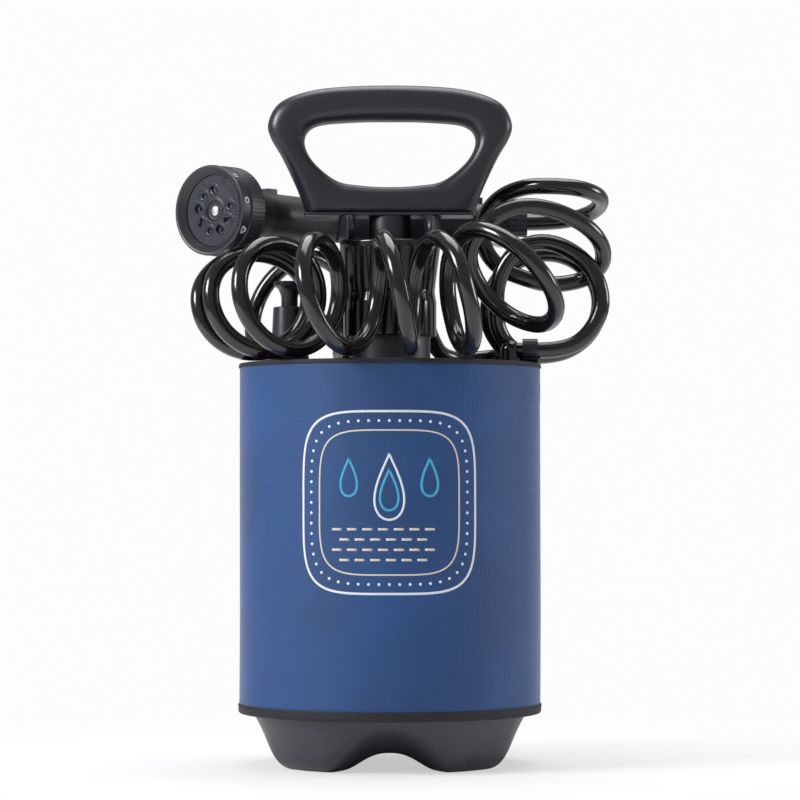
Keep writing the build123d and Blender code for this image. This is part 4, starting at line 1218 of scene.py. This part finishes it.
@dataclass
class CarryHandle:
    """The moulded loop handle: a crowned section between the hand hole and the outline, a lip, legs and a boss."""

    base: float = 364.0
    outline_mm: Tuple[Tuple[float, float], ...] = (
        (55.5, 364),
        (61.4, 381),
        (71.6, 403),
        (79.6, 417),
        (81.4, 426.5),
        (75.6, 438.5),
        (62.5, 445.8),
        (40.0, 450.4),
        (0, 452),
        (-40.0, 450.4),
    )
    hole_mm: Tuple[Tuple[float, float], ...] = (
        (0, 384),
        (19, 385),
        (36, 388.5),
        (52, 402),
        (57, 416),
        (49, 425),
        (25, 427.6),
        (0, 428),
    )
    centre: float = 407.0
    half_depth: float = 14.0
    power: float = 2.9
    around: int = 288
    section: int = 72
    lip_half: float = 57.0
    leg_ring: float = 31.5
    leg_top: float = 364.0
    leg_bottom: float = 348.0
    leg_angle: float = 36.0
    boss: float = 14.0

    def _polar(self, line: np.ndarray, angle: np.ndarray) -> np.ndarray:
        """Distance of a right-hand half outline from the centre, at each angle from straight down."""
        away = line - np.array([0, self.centre])
        turned_by = np.arctan2(away[:, 0], -away[:, 1])
        order = np.argsort(turned_by)
        return np.interp(angle, turned_by[order], np.linalg.norm(away, axis=1)[order])

    def _loop(self) -> None:
        """point(a, v) = inner(a) + (outer(a) - inner(a)) * (0.5 + 0.5 c(cos v)), with depth half_depth * c(sin v).

        c(t) = sign(t) * |t| ** (2 / power), and inner and outer are the hole and the outline seen from the centre.
        """
        angle = np.linspace(-math.pi, math.pi, self.around, endpoint=False)
        floor = np.stack([np.linspace(0, 55.4, 40), np.full(40, self.base)], axis=1)
        flank = smooth_line(self.outline_mm)
        outline = np.concatenate([floor, flank[flank[:, 0] >= 0]])
        mirrored = [(-x, z) for x, z in self.hole_mm[1:-1]][::-1]
        hole = smooth_line(list(self.hole_mm) + mirrored, closed=True)
        hole = hole[hole[:, 0] >= -1e-9]
        outer = self._polar(outline, np.abs(angle))
        inner = self._polar(hole, np.abs(angle))
        turn = np.linspace(0, TURN, self.section, endpoint=False)[None, :]
        across = 0.5 + 0.5 * np.sign(np.cos(turn)) * np.abs(np.cos(turn)) ** (2 / self.power)
        depth = self.half_depth * np.sign(np.sin(turn)) * np.abs(np.sin(turn)) ** (2 / self.power)
        reach = inner[:, None] + (outer - inner)[:, None] * across
        points = np.stack(
            [
                reach * np.sin(angle)[:, None],
                depth + 0 * reach,
                self.centre - reach * np.cos(angle)[:, None],
            ],
            axis=-1,
        )
        faces = grid_faces(self.around, self.section, True, True)
        settle(
            put_together("handle_loop", points * MM, faces, SATIN_BLACK), Body.HANDLE, "handle_black", "carry_handle"
        )

    def build(self) -> None:
        """Make the loop, the lip under it, the two curved legs and the boss."""
        self._loop()
        run = np.linspace(-self.lip_half, self.lip_half, 60)
        path = np.stack([run, 0 * run, np.full(60, self.base + 1.2)], axis=1) * MM
        ends = np.clip((self.lip_half - np.abs(run)) / 2.5, 0.05, 1) ** 0.5
        lip = swept("handle_lip", path, (0, 0, 1), 14.5 * MM * (0.85 + 0.15 * ends), 1.2 * MM, SATIN_BLACK, 7.0)
        settle(lip, Body.HANDLE, "handle_black")
        span = np.radians(np.linspace(-self.leg_angle, self.leg_angle, 40))
        middle = (self.leg_top + self.leg_bottom) / 2
        for name, way in (("handle_leg_right", 1), ("handle_leg_left", -1)):
            path = np.stack([way * self.leg_ring * np.cos(span), self.leg_ring * np.sin(span)], axis=1)
            path = np.column_stack([path, np.full(40, middle)]) * MM
            half = (self.leg_top - self.leg_bottom) / 2 * MM
            leg = swept(name, path, (0, 0, 1), 3.0 * MM, half, SATIN_BLACK, 9.0, 64)
            settle(leg, Body.HANDLE, "handle_black")
        boss = rounded(((5.05, 365), (self.boss, 365), (self.boss, 325), (5.05, 325)), (0.5, 1.0)) * MM
        settle(turned("handle_boss", boss, SATIN_BLACK, closed_profile=True), Body.HANDLE, "handle_black")


# Relief valve


@dataclass
class ReliefValve:
    """The pressure relief valve: a ribbed body on its flange, and the trumpet-shaped knob that is pulled up."""

    x: float = -67 * MM
    body_mm: Tuple[Tuple[float, float], ...] = (
        (7.8, 281),
        (7.8, 277.6),
        (4.2, 277.6),
        (4.2, 268),
        (13.0, 268),
        (13.0, 271),
        (12.3, 272),
        (10.8, 304),
        (5.8, 304),
        (5.8, 301),
        (7.8, 301),
        (7.8, 282),
    )
    body_corners_mm: Tuple[float, ...] = (0.2, 0.3, 0.3, 0.8, 0.3, 0.4, 1.2, 0.4, 0.2, 0.2)
    knob_mm: Tuple[Tuple[float, float], ...] = (
        (0.0, 299.0),
        (5.5, 299.0),
        (5.5, 311.0),
        (7.4, 316.0),
        (10.6, 318.2),
        (10.5, 321.0),
        (8.6, 321.0),
        (7.8, 319.9),
        (0.0, 319.6),
    )
    knob_corners_mm: Tuple[float, ...] = (0.4, 9.0, 3.5, 0.7, 0.8, 0.5, 0.8)
    ribs: int = 20

    def build(self) -> None:
        """Turn the body and the knob."""
        origin = (self.x, 0, 0)
        body = turned(
            "valve_barrel",
            rounded(self.body_mm, self.body_corners_mm) * MM,
            SATIN_BLACK,
            origin=origin,
            around=320,
            ribs=self.ribs,
            rib_depth=0.9 * MM,
            rib_span=(274.5 * MM, 302 * MM),
            rib_share=0.8,
            closed_profile=True,
        )
        settle(body, Body.TANK, "handle_black", "valve_body")
        knob = turned("valve_pull", rounded(self.knob_mm, self.knob_corners_mm) * MM, SATIN_BLACK, origin=origin)
        settle(knob, Body.KNOB, "handle_black", "valve_knob")


# Spray gun's dial


@dataclass
class SprayDial:
    """The gun's turning head: a rim, a smooth band with marks, a ribbed ring, and the recessed nozzle plate."""

    face: Tuple[float, float, float] = (-119, -32, 366)
    turn_deg: float = 52.3
    profile_mm: Tuple[Tuple[float, float], ...] = (
        (24.9, 3.3),
        (27.8, 0.35),
        (28.9, 0.0),
        (29.8, 0.4),
        (29.9, 2.0),
        (28.7, 2.6),
        (28.7, 8.8),
        (29.9, 9.4),
        (30.0, 22.4),
        (28.4, 24.0),
        (16.4, 24.0),
        (16.4, 8.3),
        (2.9, 8.3),
        (2.9, 7.5),
        (23.7, 7.5),
        (23.7, 4.5),
        (24.6, 3.6),
    )
    corners_mm: Tuple[float, ...] = (0.4, 0.4, 0.5, 0.3, 0.3, 0.3, 0.4, 1.5, 0.8, 0.3, 0.3, 0.2, 0.2, 0.3, 0.4)
    ribs: int = 66
    rib_depth: float = 0.5 * MM
    rib_span_mm: Tuple[float, float] = (10.2, 22.0)
    plate_radius: float = 23.5
    plate_front: float = 5.2
    plate_back: float = 7.3
    port_circle: float = 13.6
    marks: int = 9

    def __post_init__(self) -> None:
        """Work out the barrel's direction and the direction across it to the right."""
        turn = math.radians(self.turn_deg)
        self.way = np.array([math.cos(turn), math.sin(turn), 0])
        self.right = np.array([math.sin(turn), -math.cos(turn), 0])
        self.up = np.array([0, 0, 1.0])
        self.origin = np.array(self.face) * MM

    def _place(self, radius: np.ndarray, angle: np.ndarray, depth: np.ndarray) -> np.ndarray:
        """Point at a radius and angle (from the right, upwards) and a depth behind the face."""
        radius, angle, depth = np.broadcast_arrays(radius, angle, depth)
        return (
            self.origin
            + (radius * np.cos(angle))[..., None] * self.right
            + (radius * np.sin(angle))[..., None] * self.up
            + depth[..., None] * self.way
        )

    def _relief(self, radius: np.ndarray, angle: np.ndarray) -> np.ndarray:
        """Height of the nozzle plate's face in millimetres: a hub ring, ports of three kinds, and a dotted facet."""
        x, z = radius * np.cos(angle), radius * np.sin(angle)
        height = 0.7 * np.exp(-(((radius - 7.6) / 0.7) ** 2))
        height = height - 1.3 / (1 + np.exp((radius - 6.2) / 0.18))
        for number in range(9):
            if number == 1:
                continue
            place = math.radians(12 + 40 * number)
            dx, dz = x - self.port_circle * math.cos(place), z - self.port_circle * math.sin(place)
            away = np.hypot(dx, dz)
            height = height + 0.7 * np.exp(-(((away - 3.4) / 0.5) ** 2))
            if number % 3 == 0:
                hole = away - 1.7
            elif number % 3 == 1:
                hole = np.maximum(away - 2.7, 1.2 - away)
            else:
                along = dx * math.cos(place + 0.6) + dz * math.sin(place + 0.6)
                side = -dx * math.sin(place + 0.6) + dz * math.cos(place + 0.6)
                hole = np.maximum(np.abs(along) - 2.7, np.abs(side) - 1.1)
            height = height - 1.9 / (1 + np.exp(hole / 0.12))
        facet = 1 / (1 + np.exp(-(radius - 18.6) / 0.15)) / (1 + np.exp((np.abs(angle) - 1.15) / 0.03))
        height = height + facet * (0.25 + 0.24 * (radius - 18.6))
        for ring, step in ((20.0, 0.115), (22.1, 0.115)):
            nearest = np.round(angle / step) * step
            dot = np.hypot(radius - ring, ring * (angle - nearest))
            height = height - 0.5 * facet / (1 + np.exp((dot - 0.42) / 0.08))
        return height

    def _plate(self) -> None:
        """point(radius, angle) at plate_front less the relief, closed by a rim and a flat back."""
        radius = np.linspace(0, self.plate_radius, 108)[:, None]
        angle = np.linspace(-math.pi, math.pi, 540, endpoint=False)[None, :]
        front = self.plate_front - self._relief(radius, angle)
        front = np.where(radius > self.plate_radius - 0.4, self.plate_front, front)
        rows = [self._place(radius * MM, angle, front * MM)]
        rows.append(self._place(np.array([[self.plate_radius]]) * MM, angle, np.array([[self.plate_back]]) * MM))
        rows.append(self._place(np.array([[0.0]]), angle, np.array([[self.plate_back]]) * MM))
        points = np.concatenate(rows, axis=0)
        plate = put_together("nozzle_face", points, grid_faces(110, 540, False, True), PLATE_GREY)
        settle(plate, Body.DIAL, "plate_grey", "nozzle_plate")

    def _screw(self) -> None:
        """The centre screw: a low dome with a cross cut in it, point(radius, angle) at the dome's depth."""
        radius = np.linspace(0, 3.3, 34)[:, None]
        angle = np.linspace(0, TURN, 96, endpoint=False)[None, :]
        x, z = radius * np.cos(angle), radius * np.sin(angle)
        cross = np.minimum(
            np.maximum(np.abs(x) - 0.4, np.abs(z) - 1.9), np.maximum(np.abs(z) - 0.4, np.abs(x) - 1.9)
        )
        depth = 4.9 + 0.09 * radius**2 + 0.7 / (1 + np.exp(cross / 0.1))
        rows = [self._place(radius * MM, angle, depth * MM)]
        for ring, back in ((3.3, 6.4), (2.3, 6.4), (2.3, 14.0), (0.0, 14.0)):
            rows.append(self._place(np.array([[ring]]) * MM, angle, np.array([[back]]) * MM))
        screw = put_together("centre_screw", np.concatenate(rows, axis=0), grid_faces(38, 96, False, True), STEEL)
        settle(screw, Body.GUN, "steel", "face_screw")

    def _marks(self) -> None:
        """White marks round the smooth band: triangles, short bars and small rings, one at each setting."""

        def wrap(across: np.ndarray, up: np.ndarray, lift: np.ndarray) -> np.ndarray:
            """Put across (along the band) and up (along the barrel) on the band's cylinder."""
            band = 28.7 * MM
            return self._place(band + lift, across / band, up)

        size = 2.1 * MM
        triangle = np.array([(-1, -0.8), (0, 0.9), (1, -0.8)]) * size
        triangle = smooth_line(triangle.tolist(), 6, True)
        turn = np.linspace(0, TURN, 16, endpoint=False)
        ring = np.stack([np.cos(turn), np.sin(turn)], axis=1) * size * 0.8
        bar = np.stack([np.zeros(5), np.linspace(-1, 1, 5)], axis=1) * size
        lines = []
        for number in range(self.marks):
            middle = np.array([28.7 * MM * math.radians(11 + 40 * number), 5.7 * MM])
            if number % 3 == 0:
                lines.append(PrintedLine(middle + ring, 0.9 * MM))
            elif number % 3 == 1:
                shift = np.array([1.1 * MM, 0])
                lines.append(PrintedLine(middle + bar - shift, 0.9 * MM, False))
                lines.append(PrintedLine(middle + bar + shift, 0.9 * MM, False))
            else:
                lines.append(PrintedLine(middle + triangle, 1.3 * MM))
        settle(printed("dial_marks", lines, wrap, 0.06 * MM, MARK_WHITE), Body.DIAL, "gun_black")

    def build(self) -> None:
        """Make the turning head, its plate, its marks and the centre screw."""
        profile = rounded(self.profile_mm, self.corners_mm, 4) * MM
        low, high = self.rib_span_mm
        head = turned(
            "dial_head",
            profile,
            GUN_BLACK,
            origin=tuple(self.origin),
            way=tuple(self.way),
            around=792,
            ribs=self.ribs,
            rib_depth=self.rib_depth,
            rib_span=(low * MM, high * MM),
            closed_profile=True,
        )
        settle(head, Body.DIAL, "gun_black", "gun_dial")
        self._plate()
        self._screw()
        self._marks()


def main() -> None:
    """Build the studio, dress the CAD nodes, and build each sub-assembly."""
    logging.basicConfig(level=logging.INFO, format="%(message)s")
    bpy.context.scene.view_settings.view_transform = "Standard"
    Studio().build()
    CoilHose().build()
    FINISHES.dress_nodes()
    Sleeve().build()
    TankShell().build()
    PumpHead().build()
    ReliefValve().build()
    CarryHandle().build()
    SprayDial().build()


if __name__ == "__main__":
    main()
